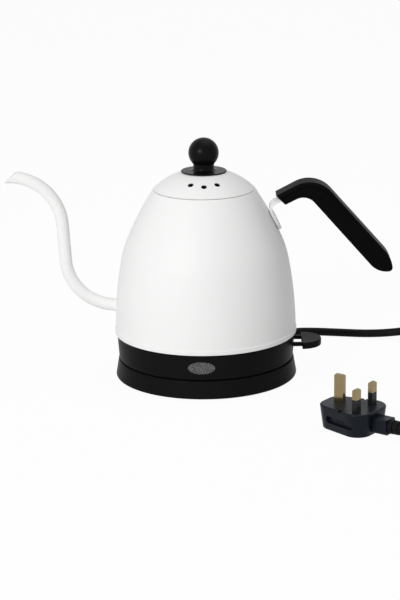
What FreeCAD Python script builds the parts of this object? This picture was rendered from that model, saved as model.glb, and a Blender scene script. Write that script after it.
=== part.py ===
"""Gooseneck kettle that lifts off and turns on a round power base, with its mains lead and plug.

Millimetres. The origin is on the worktop, on the kettle's axis. +Z is up, +X points to the handle,
-X to the spout and -Y to the viewer. Each function below makes one piece.
"""
import FreeCAD
import Part
import math
import os

V = FreeCAD.Vector
UP = V(0, 0, 1)
ORIGIN = V(0, 0, 0)

# Fits shared by many pieces
WELD_GAP = 0.1
SEAT_GAP = 0.3
RUNNING_GAP = 0.05
SCREW_GAP = 0.15

# Kettle's radius at the foot of its wall, and the radii that follow it down to the worktop
BODY_R = 74.44
SHEET = 0.7
RIM_PROUD = 0.56
SKIRT_FIT = 0.8
SKIRT_TAPER = 1.5
COVER_LEDGE = 0.5
COVER_FLARE = 2.5
COVER_LIP_W = 3.0
PLATE_INSET = 2.1
FOOT_INSET = 12.4
SEAT_RING_INSET = 12.0
BOSS_INSET = 16.0
STUD_INSET = 15.0
AXLE_INSET = 12.0
TUBE_INSET = 7.0
PADDLE_GAP = 5.9
RIM_R = BODY_R + RIM_PROUD
SKIRT_TOP_R = RIM_R - SHEET - SKIRT_FIT
SKIRT_BOTTOM_R = SKIRT_TOP_R - SKIRT_TAPER
COVER_TOP_R = SKIRT_BOTTOM_R + COVER_LEDGE
COVER_BOTTOM_R = COVER_TOP_R + COVER_FLARE
COVER_LIP_R = COVER_TOP_R - COVER_LIP_W
PLATE_R = COVER_TOP_R - PLATE_INSET
FOOT_RING_R = PLATE_R - FOOT_INSET
SEAT_RING_R = SKIRT_BOTTOM_R - SEAT_RING_INSET
BASE_BOSS_RING_R = SEAT_RING_R - BOSS_INSET
STUD_RING_R = SKIRT_BOTTOM_R - STUD_INSET
AXLE_X = SKIRT_BOTTOM_R - AXLE_INSET
TUBE_X = AXLE_X - TUBE_INSET
PADDLE_X = SKIRT_TOP_R + PADDLE_GAP

# Power base
FOOT_STAND = 0.6
FOOT_R = 6.0
FOOT_POCKET = 1.2
FOOT_COUNT = 4
PLATE_T = 2.0
COVER_TOP_Z = 15.2
COVER_WALL = 2.4
COVER_EDGE = 1.0
DECK_DROP = 1.6
DECK_T = 2.2
SEAT_RING_W = 4.0
BASE_BOSS_R = 4.5
BASE_SCREW_R = 1.5
BASE_SCREW_HEAD_R = 3.0
BASE_SCREW_HEAD_T = 1.2
BASE_SCREW_L = 8.0

# Base connector and the socket that drops over it
TOWER_R = 13.6
TOWER_TOP_Z = 25.4
TOWER_FLANGE_R = 24.0
TOWER_FLANGE_T = 1.6
CONTACT_RING_R = (10.4, 6.0)
CONTACT_RING_T = 1.0
CONTACT_GROOVE_GAP = 0.3
CONTACT_DEPTH = 8.0
CONTACT_SHORT = 0.8
EARTH_PIN_R = 2.0
EARTH_PIN_STAND = 1.8
SOCKET_R = 18.0
SOCKET_BORE_GAP = 0.6
SOCKET_ROOF = 3.2
SOCKET_BOTTOM_Z = 16.6

# Skirt under the vessel
SKIRT_BOTTOM_Z = 16.0
SKIRT_WALL = 2.2
SKIRT_FLOOR_T = 2.0
SKIRT_SPIGOT = 2.8
SKIRT_EDGE = 1.2
STUD_R = 4.0
STUD_COUNT = 3
STUD_START_ANGLE = 90.0
STUD_BOTTOM_Z = 24.0
SKIRT_SCREW_R = 1.9
SKIRT_SCREW_HEAD_R = 3.6
SKIRT_SCREW_HEAD_T = 1.4
SKIRT_SCREW_L = 13.0

# Indicator lens and lamp
LENS_W = 22.0
LENS_H = 10.3
LENS_Z = 26.5
LENS_PROUD = 0.7
LENS_EDGE = 0.6
LENS_INSIDE = 1.2
LENS_GAP = 0.15
LENS_TURN = -3.0
LAMP_R = 2.6
LAMP_L = 9.0
LAMP_BEHIND = 2.0
LAMP_POST_W = 7.0

# Vessel
RIM_Z = 37.4
RIM_BAND = 3.4
RIM_STEP = 0.7
WALL_START_Z = 37.9
WALL_RADII = (322.4, 84.2, 251.7)
WALL_TURNS = (10.8, 11.7)
SEAM_Z = 156.6
LEDGE_W = 4.1
NECK_DEPTH = 3.2
FLOOR_Z = 41.0
FLOOR_T = 0.8
FLOOR_FLANGE = 5.0

# Heating
SPREADER_INSET = 11.0
SPREADER_R = STUD_RING_R - SPREADER_INSET
SPREADER_T = 2.5
ELEMENT_INSET = 9.0
ELEMENT_RING_R = SPREADER_R - ELEMENT_INSET
ELEMENT_R = 3.3
ELEMENT_SWEEP = 300.0
ELEMENT_TAIL_R = 2.0
ELEMENT_TAIL = 7.0
CONTROL_INSET = 12.0
CONTROL_R = ELEMENT_RING_R - CONTROL_INSET
CONTROL_T = 5.2

# Steam tube and switch
TUBE_R = 4.0
TUBE_WALL = 0.6
TUBE_TOP_Z = 122.0
TUBE_BELOW = 4.6
TUBE_SLANT = 30.0
AXLE_Z = 26.6
AXLE_R = 2.0
AXLE_L = 31.0
ARM_SPREAD = 20.0
ARM_W = 3.0
ARM_T = 3.0
ARM_SLOT_GAP = 0.5
ARM_DROP = 3.2
PADDLE_R = 16.2
PADDLE_T = 5.6
PADDLE_EDGE = 0.7
SWITCH_L = 15.0
SWITCH_CHEEK = 2.4
SWITCH_TOP_Z = 35.4
SWITCH_SHELF_T = 1.6
BIMETAL_R = 5.2
BIMETAL_T = 0.4

# Spout: centre line in the XZ plane, from inside the vessel wall to the lip
SPOUT_R = 5.15
SPOUT_WALL = 0.8
SPOUT_START = (-8.44, 57.9)
SPOUT_LOW_CORNER = (37.96, 66.3)
SPOUT_LOW_BEND = 40.5
SPOUT_HIGH_CORNER = (43.86, 168.5)
SPOUT_HIGH_BEND = 42.8
SPOUT_END_OUT = 91.56
LIP_OUT = 87.96
LIP_CUT_ANGLE = 42.0

# Lid
LID_SETBACK = 0.5
LID_DOME_R = 59.5
LID_GAP_Z = 0.5
LID_FLAT_R = 17.0
LINER_GAP = 0.7
LINER_DEPTH = 9.6
LINER_T = 0.7
LINER_FLANGE = 5.0
VENT_R = 2.35
VENT_RING_R = 29.4
VENT_LOW_RING_R = 30.9
VENT_SPREAD = 21.2
KNOB_FLANGE_R = 18.6
KNOB_FLANGE_EDGE = 0.9
KNOB_NECK_R = 8.5
KNOB_NECK_RISE = 4.6
KNOB_BALL_R = 12.35
KNOB_BALL_RISE = 15.4
KNOB_CONE_RISE = 2.4
KNOB_SCREW_R = 2.0
KNOB_SCREW_L = 13.0
KNOB_SCREW_HEAD_R = 4.0
KNOB_SCREW_HEAD_T = 2.4
KNOB_WASHER_R = 8.0
KNOB_WASHER_T = 1.2

# Handle: side outline in the XZ plane, as (x, z)
HANDLE_W = 23.0
HANDLE_EDGE = 2.4
HANDLE_TIP_ROUND = 3.3
HANDLE_END_TOP = (-16.1, 151.9)
HANDLE_TOP_CORNER = (16.5, 168.8)
HANDLE_TOP_BEND = 24.0
HANDLE_TOP_OGIVE = (72.9, 104.7)
HANDLE_TIP = (79.2, 88.0)
HANDLE_LOW_OGIVE = (61.0, 93.2)
HANDLE_LOW_CORNER = (8.75, 153.0)
HANDLE_LOW_BEND = 12.0
HANDLE_END_LOW = (-8.3, 144.5)
COVER_DEPTH = 4.2
COVER_END_DEPTH = 1.4
COVER_RUN = 26.0
COVER_SEAM = 0.2
COVER_NARROW = 0.5
STRAP_W = 15.0
STRAP_T = 2.2
STRAP_LOW_Z = 121.8
STRAP_HIGH_Z = 139.6
STRAP_BEND = 6.0
STRAP_IN = 18.0
STRAP_GAP = 0.2
GRIP_SCREW_R = 1.6
GRIP_SCREW_HEAD_R = 3.0
GRIP_SCREW_HEAD_T = 1.6
GRIP_SCREW_STEPS = (7.6, 14.2)

# Mains lead: its run from the coil to the base gland, and from the plug to the coil
CORD_R = 3.5
GLAND_TURN = 50.0
GLAND_Z = 7.2
GLAND_R = 5.4
GLAND_END_R = 4.4
GLAND_OUT = 27.0
GLAND_STEM_R = 3.7
GLAND_STEM = 10.0
GLAND_RIBS = 4
RIB_DEPTH = 0.7
RIB_W = 1.6
COIL_X = 212.0
COIL_Y = 42.0
COIL_R = 38.5
COIL_LAYER = 7.6
COIL_END = 7.0
TIE_GAP = 0.4
TIE_T = 0.8
TIE_W = 6.0
TIE_ANGLE = 45.0
CORD_SHARE = 0.45

# Three-pin plug, lying on its back with its pins up
PLUG_X = 112.0
PLUG_Y = -146.0
PLUG_HEADING = -37.0
PLUG_H = 19.0
PLUG_BACK_SHARE = 0.9
PLUG_OUTLINE = ((-26.0, -13.0, 11.0), (22.0, -24.5, 13.0), (22.0, 24.5, 13.0), (-26.0, 13.0, 11.0))
PLUG_EDGE = 1.2
PIN_PITCH = 22.2
EARTH_PIN = (8.0, 4.0, 22.7)
LINE_PIN = (4.0, 6.35, 17.7)
PIN_ROOT = 7.0
PIN_TIP = 1.0
PIN_X = 9.6
SLEEVE_L = 9.5
SLEEVE_T = 0.5
FUSE_BOX = (9.4, 31.0, 9.6)
FUSE_BOX_X = -0.9
FUSE_BOX_GAP = 0.25
FUSE_BOX_WALL = 1.2
FUSE_R = 3.15
FUSE_L = 25.4
FUSE_CAP_L = 6.0
PRISE_SLOT = (2.6, 4.0, 1.2)
GRIP_POCKET = (28.0, 5.6, 2.8)
GRIP_POCKET_Z = 9.0
PLUG_NECK = (11.0, 13.0, 12.0)
PLUG_NECK_Z = 8.4
TAIL_R = 5.6
TAIL_END_R = 4.5
TAIL_L = 27.0
TAIL_RIBS = 5

# Heights and places that follow from the sizes above
PLATE_TOP_Z = FOOT_STAND + PLATE_T
DECK_Z = COVER_TOP_Z - DECK_DROP
DECK_UNDER_Z = DECK_Z - DECK_T
SKIRT_FLOOR_Z = SKIRT_BOTTOM_Z + SKIRT_FLOOR_T
SKIRT_TOP_Z = RIM_Z + SKIRT_SPIGOT
SPREADER_Z = FLOOR_Z - SPREADER_T
CONTROL_Z = SPREADER_Z - CONTROL_T
SOCKET_TOP_Z = CONTROL_Z - SEAT_GAP
COIL_Z = CORD_R + TIE_GAP + TIE_T
COIL_TOP_Z = COIL_Z + COIL_LAYER
PLUG_TAIL_X = PLUG_OUTLINE[1][0] + PLUG_NECK[0]
TINY = 1e-6


def flat(point):
    """A point (x, z) of the XZ plane."""
    return V(point[0], 0, point[1])


def heading(degrees):
    """Unit vector on the worktop, counted from +X towards +Y."""
    return V(math.cos(math.radians(degrees)), math.sin(math.radians(degrees)), 0)


def corner_arc(before, corner, after, radius):
    """First point, middle and last point of the arc that rounds a corner."""
    back = (before - corner).normalize()
    ahead = (after - corner).normalize()
    half = back.getAngle(ahead) / 2
    reach = radius / math.tan(half)
    middle = corner + (back + ahead).normalize() * (radius / math.sin(half) - radius)
    return corner + back * reach, middle, corner + ahead * reach


def edges_through(points, radii, closed):
    """Straight edges through the points, with an arc at each corner that has a radius."""
    count = len(points)
    stops = []
    for i, (corner, radius) in enumerate(zip(points, radii)):
        if radius and (closed or 0 < i < count - 1):
            stops.append(corner_arc(points[i - 1], corner, points[(i + 1) % count], radius))
        else:
            stops.append((corner, None, corner))
    edges = []
    for i, (first, middle, last) in enumerate(stops):
        if middle is not None:
            edges.append(Part.Arc(first, middle, last).toShape())
        if not closed and i == count - 1:
            break
        following = stops[(i + 1) % count][0]
        if last.distanceToPoint(following) > TINY:
            edges.append(Part.LineSegment(last, following).toShape())
    return edges


def section(corners):
    """Face in the XZ plane from (x, z) or (x, z, radius) corners."""
    points = [flat(corner) for corner in corners]
    radii = [corner[2] if len(corner) > 2 else 0 for corner in corners]
    return Part.Face(Part.Wire(edges_through(points, radii, True)))


def turned(corners):
    """Solid of revolution about Z."""
    return section(corners).revolve(ORIGIN, UP, 360)


def across(face, width):
    """Solid of an XZ face, carried width/2 to each side along Y."""
    moved = face.copy()
    moved.translate(V(0, -width / 2, 0))
    return moved.extrude(V(0, width, 0))


def rod(radius, start, end):
    """Cylinder between two points."""
    line = end - start
    return Part.makeCylinder(radius, line.Length, start, line)


def block(size, centre):
    """Box of a size about a centre point."""
    low = centre - V(*size) * 0.5
    return Part.makeBox(size[0], size[1], size[2], low)


def around(count, radius, z, start=0.0):
    """Places evenly spaced on a ring."""
    places = []
    for i in range(count):
        places.append(heading(start + 360.0 * i / count) * radius + UP * z)
    return places


def tube(edges, outer_r, inner_r=0.0):
    """Round tube along tangent lines and arcs, made of true cylinders and rings."""
    runs = []
    for edge in edges:
        start = edge.Vertexes[0].Point
        along = edge.tangentAt(edge.FirstParameter)
        ring = Part.Wire(Part.makeCircle(outer_r, start, along))
        disc = Part.Face(ring)
        if inner_r:
            disc = disc.cut(Part.Face(Part.Wire(Part.makeCircle(inner_r, start, along))))
            disc = disc.Faces[0]
        if edge.Curve.TypeId == "Part::GeomLine":
            runs.append(disc.extrude(edge.Vertexes[-1].Point - start))
        else:
            centre = edge.Curve.Center
            axis = (start - centre).cross(along)
            turn = math.degrees(edge.Length / edge.Curve.Radius)
            runs.append(disc.revolve(centre, axis, turn))
    whole = runs[0].fuse(runs[1:]) if len(runs) > 1 else runs[0]
    return whole


def screw(foot, direction, shank_r, shank_l, head_r, head_t):
    """Screw with a round head below its shank; foot is the centre of the head's outer face."""
    along = V(direction).normalize()
    head = rod(head_r, foot, foot + along * head_t)
    shank = rod(shank_r, foot + along * head_t, foot + along * (head_t + shank_l))
    return head.fuse(shank).removeSplitter()


# Vessel wall


def wall_centres():
    """Centres of the wall's three tangent arcs and the angles where each one starts."""
    centre = flat((BODY_R - WALL_RADII[0], WALL_START_Z))
    angle = 0.0
    found = [(centre, angle)]
    for i, turn in enumerate(WALL_TURNS):
        angle += math.radians(turn)
        along = V(math.cos(angle), 0, math.sin(angle))
        centre = centre + along * (WALL_RADII[i] - WALL_RADII[i + 1])
        found.append((centre, angle))
    return found


WALL_ARCS = wall_centres()


def wall_at(arc, angle, inset):
    """Point of one of the wall's arcs, moved inwards from its outside."""
    reach = WALL_RADII[arc] - inset
    return WALL_ARCS[arc][0] + V(math.cos(angle), 0, math.sin(angle)) * reach


def wall_angle(z, inset=0.0):
    """Which arc of the wall is at a height, and its angle there."""
    for arc in (2, 1, 0):
        centre, start = WALL_ARCS[arc]
        angle = math.asin((z - centre.z) / (WALL_RADII[arc] - inset))
        if angle >= start or arc == 0:
            return arc, angle


def wall_radius(z, inset=0.0):
    """Radius of the wall at a height."""
    arc, angle = wall_angle(z, inset)
    return wall_at(arc, angle, inset).x


# Sizes that follow from the wall at the lid's seam
SEAM_R = wall_radius(SEAM_Z)
NECK_R = SEAM_R - LEDGE_W
LID_R = SEAM_R - LID_SETBACK
LID_EDGE_Z = SEAM_Z + LID_GAP_Z
LID_CENTRE_Z = LID_EDGE_Z - math.sqrt(LID_DOME_R**2 - LID_R**2)
LID_FLAT_Z = LID_CENTRE_Z + math.sqrt(LID_DOME_R**2 - LID_FLAT_R**2)


def wall_edges(inset, low_z, high_z):
    """The wall's outline between two heights of its outside, from the bottom up."""
    first_arc, first = wall_angle(low_z)
    last_arc, last = wall_angle(high_z)
    edges = []
    for arc in range(first_arc, last_arc + 1):
        start = first if arc == first_arc else WALL_ARCS[arc][1]
        end = last if arc == last_arc else WALL_ARCS[arc + 1][1]
        stops = [wall_at(arc, angle, inset) for angle in (start, (start + end) / 2, end)]
        edges.append(Part.Arc(*stops).toShape())
    return edges


def joined(points):
    """Straight edges from point to point."""
    return [Part.LineSegment(a, b).toShape() for a, b in zip(points, points[1:])]


def wall_filled(grown, low_z, high_z):
    """The wall's outside as a filled solid, for trimming what is welded to it."""
    edges = wall_edges(-grown, low_z, high_z)
    bottom = edges[0].Vertexes[0].Point
    top = edges[-1].Vertexes[-1].Point
    sides = joined([top, V(0, 0, top.z), V(0, 0, bottom.z), bottom])
    return Part.Face(Part.Wire(edges + sides)).revolve(ORIGIN, UP, 360)


def on_spout(point):
    """Point of the spout's line, whose first value is measured out from the body's radius."""
    return flat((-BODY_R - point[0], point[1]))


def spout_edges():
    """Centre line of the gooseneck."""
    points = [
        on_spout(SPOUT_START),
        on_spout(SPOUT_LOW_CORNER),
        on_spout(SPOUT_HIGH_CORNER),
        on_spout((SPOUT_END_OUT, SPOUT_HIGH_CORNER[1])),
    ]
    return edges_through(points, [0, SPOUT_LOW_BEND, SPOUT_HIGH_BEND, 0], False)


def vessel_body():
    """White steel shell: rim band, curved wall, shoulder ledge and turned-down mouth."""
    band_top = RIM_Z + RIM_BAND
    wall_low = band_top + RIM_STEP
    outside = wall_edges(0, wall_low, SEAM_Z)
    inside = wall_edges(SHEET, wall_low, SEAM_Z)
    outer_low = outside[0].Vertexes[0].Point
    outer_top = outside[-1].Vertexes[-1].Point
    inner_low = inside[0].Vertexes[0].Point
    inner_top = inside[-1].Vertexes[-1].Point
    rim_in = RIM_R - SHEET
    rim = [inner_low, flat((rim_in, band_top)), flat((rim_in, RIM_Z)), flat((RIM_R, RIM_Z))]
    rim += [flat((RIM_R, band_top)), outer_low]
    mouth = [outer_top, flat((NECK_R, SEAM_Z)), flat((NECK_R, SEAM_Z - NECK_DEPTH))]
    neck_out = NECK_R + SHEET
    mouth += [flat((neck_out, SEAM_Z - NECK_DEPTH)), flat((neck_out, SEAM_Z - SHEET)), inner_top]
    wire = Part.Wire(Part.__sortEdges__(joined(rim) + outside + joined(mouth) + inside))
    shell = Part.Face(wire).revolve(ORIGIN, UP, 360)
    root = spout_edges()[0]
    start = root.Vertexes[0].Point
    along = root.tangentAt(root.FirstParameter)
    hole = rod(SPOUT_R - SPOUT_WALL, start - along * SPOUT_R, start + along * (2 * SPOUT_R))
    return shell.cut(hole)


def vessel_floor():
    """Pressed steel floor with an upturned flange, three screw studs and the steam tube's hole."""
    flange_z = FLOOR_Z + FLOOR_FLANGE
    out_r = wall_radius(flange_z) - SHEET - WELD_GAP
    in_r = out_r - FLOOR_T
    pan = turned(
        [(0, FLOOR_Z), (out_r, FLOOR_Z, 2.0), (out_r, flange_z), (in_r, flange_z)]
        + [(in_r, FLOOR_Z + FLOOR_T, 1.2), (0, FLOOR_Z + FLOOR_T)]
    )
    for place in around(STUD_COUNT, STUD_RING_R, 0, STUD_START_ANGLE):
        stud = rod(STUD_R, place + UP * STUD_BOTTOM_Z, place + UP * FLOOR_Z)
        bore_top = SKIRT_FLOOR_Z + SKIRT_SCREW_L
        stud = stud.cut(rod(SKIRT_SCREW_R + SCREW_GAP, place, place + UP * bore_top))
        pan = pan.fuse(stud)
    hole = rod(TUBE_R + WELD_GAP, V(TUBE_X, 0, FLOOR_Z - FLOOR_T), V(TUBE_X, 0, FLOOR_Z + 2 * FLOOR_T))
    return pan.cut(hole)


def spout_tube():
    """Gooseneck tube, trimmed to the wall at its root and cut on a slant at its lip."""
    whole = tube(spout_edges(), SPOUT_R, SPOUT_R - SPOUT_WALL)
    whole = whole.cut(wall_filled(WELD_GAP, RIM_Z + RIM_BAND + RIM_STEP, SEAM_Z))
    axis_z = SPOUT_HIGH_CORNER[1]
    rise = 2 * SPOUT_R
    run = rise / math.tan(math.radians(LIP_CUT_ANGLE))
    lip_x = on_spout((LIP_OUT, axis_z)).x
    end_x = on_spout((SPOUT_END_OUT, axis_z)).x - rise
    low = (lip_x - run, axis_z - SPOUT_R - rise)
    high = (lip_x + 2 * run, axis_z - SPOUT_R + 2 * rise)
    waste = section([low, high, (end_x, high[1]), (end_x, low[1])])
    return whole.cut(across(waste, 4 * SPOUT_R))


def heat_spreader():
    """Aluminium disc under the vessel floor."""
    return Part.makeCylinder(SPREADER_R, SPREADER_T, V(0, 0, SPREADER_Z))


def heating_element():
    """Sheathed ring element under the spreader, with two cold tails turned down."""
    z = SPREADER_Z - ELEMENT_R - WELD_GAP
    start = heading((360 - ELEMENT_SWEEP) / 2)
    place = start * ELEMENT_RING_R + UP * z
    along = UP.cross(start)
    ring = Part.Face(Part.Wire(Part.makeCircle(ELEMENT_R, place, along)))
    ring = ring.revolve(UP * z, UP, ELEMENT_SWEEP)
    for side in (1, -1):
        end = heading(side * (360 - ELEMENT_SWEEP) / 2) * ELEMENT_RING_R + UP * z
        inner = end + UP.cross(end).normalize() * (side * ELEMENT_R)
        ring = ring.fuse(rod(ELEMENT_TAIL_R, inner - UP * ELEMENT_TAIL, inner))
    return ring


def control_unit():
    """Thermal control under the spreader's middle."""
    z = CONTROL_Z
    side = [(CONTROL_R - 3, z, 1.0), (CONTROL_R, z + 2, 1.0), (CONTROL_R, SPREADER_Z)]
    return turned([(0, z)] + side + [(0, SPREADER_Z)])


def connector_socket():
    """Round socket under the kettle that drops over the base's tower from any side."""
    bore = TOWER_R + SOCKET_BORE_GAP
    roof = SOCKET_TOP_Z - SOCKET_ROOF
    low = SOCKET_BOTTOM_Z
    return turned(
        [(bore, low), (SOCKET_R, low, 0.8), (SOCKET_R, SOCKET_TOP_Z, 0.8), (0, SOCKET_TOP_Z)]
        + [(0, roof), (bore, roof, 1.0)]
    )


def skirt_radius(z):
    """Outside radius of the skirt's cone at a height."""
    share = (z - SKIRT_BOTTOM_Z) / (RIM_Z - SKIRT_BOTTOM_Z)
    return SKIRT_BOTTOM_R + (SKIRT_TOP_R - SKIRT_BOTTOM_R) * share


def lens_prism(grown, depth_in, depth_out):
    """Oval prism through the skirt's wall at the lens."""
    middle = skirt_radius(LENS_Z)
    centre = V(0, -middle - depth_out, LENS_Z)
    oval = Part.Ellipse(V(LENS_W / 2 + grown, 0, 0), V(0, LENS_H / 2 + grown, 0), ORIGIN).toShape()
    oval.rotate(ORIGIN, V(1, 0, 0), 90)
    oval.translate(centre)
    prism = Part.Face(Part.Wire(oval)).extrude(V(0, depth_out + depth_in, 0))
    prism.rotate(ORIGIN, UP, LENS_TURN)
    return prism


def base_skirt():
    """Black cup under the vessel: coned wall, floor, lens window, lever slots and screw holes."""
    low = SKIRT_BOTTOM_Z
    floor = SKIRT_FLOOR_Z
    inner_low = skirt_radius(floor) - SKIRT_WALL
    inner_top = SKIRT_TOP_R - SKIRT_WALL
    hole = SOCKET_R + SEAT_GAP
    outside = [(hole, low), (SKIRT_BOTTOM_R, low, SKIRT_EDGE), (SKIRT_TOP_R, RIM_Z)]
    spigot = [(SKIRT_TOP_R, SKIRT_TOP_Z, 0.5), (inner_top, SKIRT_TOP_Z, 0.5), (inner_top, RIM_Z)]
    cup = turned(outside + spigot + [(inner_low, floor, 1.0), (hole, floor)])
    cup = cup.cut(lens_prism(LENS_GAP, 3 * SKIRT_WALL, SKIRT_WALL))
    slot_low = AXLE_Z - ARM_T / 2 - ARM_DROP
    slot_h = ARM_T + ARM_DROP + ARM_SLOT_GAP
    for side in (-1, 1):
        size = (4 * SKIRT_WALL, ARM_W + 2 * ARM_SLOT_GAP, slot_h)
        centre = V(skirt_radius(AXLE_Z), side * ARM_SPREAD / 2, slot_low + slot_h / 2)
        cup = cup.cut(block(size, centre))
    for place in around(STUD_COUNT, STUD_RING_R, low, STUD_START_ANGLE):
        head = rod(SKIRT_SCREW_HEAD_R + SCREW_GAP, place, place + UP * SKIRT_SCREW_HEAD_T)
        hole = rod(SKIRT_SCREW_R + SCREW_GAP, place, place + UP * (2 * SKIRT_FLOOR_T))
        cup = cup.cut(head).cut(hole)
        collar = rod(STUD_R, place + UP * SKIRT_FLOOR_T, place + UP * (STUD_BOTTOM_Z - low))
        collar = collar.cut(rod(SKIRT_SCREW_R + SCREW_GAP, place, place + UP * (STUD_BOTTOM_Z - low)))
        cup = cup.fuse(collar)
    return cup.removeSplitter()


def skirt_screws():
    """Three screws from below, through the skirt's floor into the vessel's studs."""
    screws = []
    for place in around(STUD_COUNT, STUD_RING_R, SKIRT_BOTTOM_Z, STUD_START_ANGLE):
        shank = SKIRT_SCREW_L
        screws.append(screw(place, UP, SKIRT_SCREW_R, shank, SKIRT_SCREW_HEAD_R, SKIRT_SCREW_HEAD_T))
    return Part.makeCompound(screws)


def indicator_lens():
    """Oval window that follows the skirt's cone and stands a little proud of it."""
    low = LENS_Z - LENS_H
    high = LENS_Z + LENS_H
    thick = SKIRT_WALL + LENS_INSIDE
    cone = turned(
        [(skirt_radius(low) - thick, low), (skirt_radius(low) + LENS_PROUD, low)]
        + [(skirt_radius(high) + LENS_PROUD, high), (skirt_radius(high) - thick, high)]
    )
    lens = cone.common(lens_prism(0, 4 * SKIRT_WALL, 2 * SKIRT_WALL))
    front = []
    for edge in lens.Edges:
        middle = edge.valueAt((edge.FirstParameter + edge.LastParameter) / 2)
        if math.hypot(middle.x, middle.y) > skirt_radius(middle.z) + LENS_PROUD - TINY:
            front.append(edge)
    return lens.makeFillet(LENS_EDGE, front)


def indicator_lamp():
    """Lamp capsule behind the lens, on a post that stands on the skirt's floor."""
    front = -(skirt_radius(LENS_Z) - SKIRT_WALL - LENS_INSIDE - LAMP_BEHIND)
    capsule = rod(LAMP_R, V(0, front, LENS_Z), V(0, front + LAMP_L, LENS_Z))
    post_h = LENS_Z - SKIRT_FLOOR_Z
    post_middle = V(0, front + LAMP_L * 0.7, SKIRT_FLOOR_Z + post_h / 2)
    post = block((LAMP_POST_W, LAMP_L * 0.6, post_h), post_middle)
    lamp = capsule.fuse(post)
    lamp.rotate(ORIGIN, UP, LENS_TURN)
    return lamp.removeSplitter()


def steam_tube():
    """Thin pipe that leads steam from under the lid to the switch, cut on a slant at its top."""
    bottom = V(TUBE_X, 0, FLOOR_Z - TUBE_BELOW)
    top = V(TUBE_X, 0, TUBE_TOP_Z)
    pipe = rod(TUBE_R, bottom, top).cut(rod(TUBE_R - TUBE_WALL, bottom, top))
    drop = 2 * TUBE_R * math.tan(math.radians(TUBE_SLANT))
    left = TUBE_X - TUBE_R
    right = TUBE_X + TUBE_R
    above = TUBE_TOP_Z + 1
    waste = section([(left, TUBE_TOP_Z - drop), (right, TUBE_TOP_Z), (right, above), (left, above)])
    return pipe.cut(across(waste, 4 * TUBE_R))


def steam_switch():
    """Switch frame on the skirt's floor: two cheeks with the lever's bearings and a shelf on top."""
    inner_w = AXLE_L - 2 * SWITCH_CHEEK
    x = AXLE_X - AXLE_R
    height = SWITCH_TOP_Z - SKIRT_FLOOR_Z
    frame = block((SWITCH_L, AXLE_L, height), V(x, 0, SKIRT_FLOOR_Z + height / 2))
    room_h = height - 2 * SWITCH_SHELF_T
    frame = frame.cut(block((2 * SWITCH_L, inner_w, room_h), V(x, 0, SKIRT_FLOOR_Z + height / 2)))
    bearing = AXLE_R + RUNNING_GAP
    frame = frame.cut(rod(bearing, V(AXLE_X, -AXLE_L, AXLE_Z), V(AXLE_X, AXLE_L, AXLE_Z)))
    dish = rod(BIMETAL_R + WELD_GAP, V(TUBE_X, 0, SWITCH_TOP_Z - BIMETAL_T), V(TUBE_X, 0, SWITCH_TOP_Z + 1))
    return frame.cut(dish)


def bimetal_disc():
    """Snap disc in the switch's shelf, under the steam tube's lower end."""
    return Part.makeCylinder(BIMETAL_R, BIMETAL_T, V(TUBE_X, 0, SWITCH_TOP_Z - BIMETAL_T))


def switch_lever():
    """Half-round paddle on two arms, turning on a round axle inside the skirt."""
    low = AXLE_Z - PADDLE_T / 2
    disc = Part.makeCylinder(PADDLE_R, PADDLE_T, V(PADDLE_X, 0, low))
    paddle = disc.common(Part.makeBox(PADDLE_R, 2 * PADDLE_R, PADDLE_T, V(PADDLE_X, -PADDLE_R, low)))
    paddle = paddle.makeFillet(PADDLE_EDGE, paddle.Edges)
    lever = paddle.fuse(rod(AXLE_R, V(AXLE_X, -AXLE_L / 2, AXLE_Z), V(AXLE_X, AXLE_L / 2, AXLE_Z)))
    reach = PADDLE_X + PADDLE_R / 4 - AXLE_X
    for side in (-1, 1):
        centre = V(AXLE_X + reach / 2, side * ARM_SPREAD / 2, AXLE_Z)
        lever = lever.fuse(block((reach, ARM_W, ARM_T), centre))
    return lever.removeSplitter()


# Lid


def dome_z(radius, inset=0.0):
    """Height of the lid's dome at a radius."""
    return LID_CENTRE_Z + math.sqrt((LID_DOME_R - inset) ** 2 - radius**2)


def dome_edge(r_from, r_to, inset):
    """Arc of the lid's dome between two radii."""
    stops = [flat((r, dome_z(r, inset))) for r in (r_from, (r_from + r_to) / 2, r_to)]
    return Part.Arc(*stops).toShape()


def lid_shell():
    """Domed steel lid with a flat for the knob and three steam vents at the front."""
    inner_edge_r = LID_R - SHEET
    inner_flat_z = LID_FLAT_Z - SHEET
    inner_flat_r = math.sqrt((LID_DOME_R - SHEET) ** 2 - (inner_flat_z - LID_CENTRE_Z) ** 2)
    outside = dome_edge(LID_R, LID_FLAT_R, 0)
    inside = dome_edge(inner_edge_r, inner_flat_r, SHEET)
    top = joined([flat((LID_FLAT_R, LID_FLAT_Z)), flat((KNOB_SCREW_R + SCREW_GAP, LID_FLAT_Z))])
    hole_r = KNOB_SCREW_R + SCREW_GAP
    bore = joined([flat((hole_r, LID_FLAT_Z)), flat((hole_r, inner_flat_z))])
    under = joined([flat((KNOB_SCREW_R + SCREW_GAP, inner_flat_z)), flat((inner_flat_r, inner_flat_z))])
    inner_low = flat((inner_edge_r, dome_z(inner_edge_r, SHEET)))
    rim = joined([inner_low, flat((inner_edge_r, LID_EDGE_Z)), flat((LID_R, LID_EDGE_Z))])
    wire = Part.Wire(Part.__sortEdges__(rim + [outside] + top + bore + under + [inside]))
    dome = Part.Face(wire).revolve(ORIGIN, UP, 360)
    vents = [(0, VENT_LOW_RING_R), (-VENT_SPREAD, VENT_RING_R), (VENT_SPREAD, VENT_RING_R)]
    for turn, ring_r in vents:
        place = heading(turn - 90) * ring_r
        outward = place + UP * (dome_z(ring_r) - LID_CENTRE_Z)
        middle = UP * LID_CENTRE_Z
        dome = dome.cut(rod(VENT_R, middle + outward * 0.9, middle + outward * 1.1))
    return dome


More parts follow.
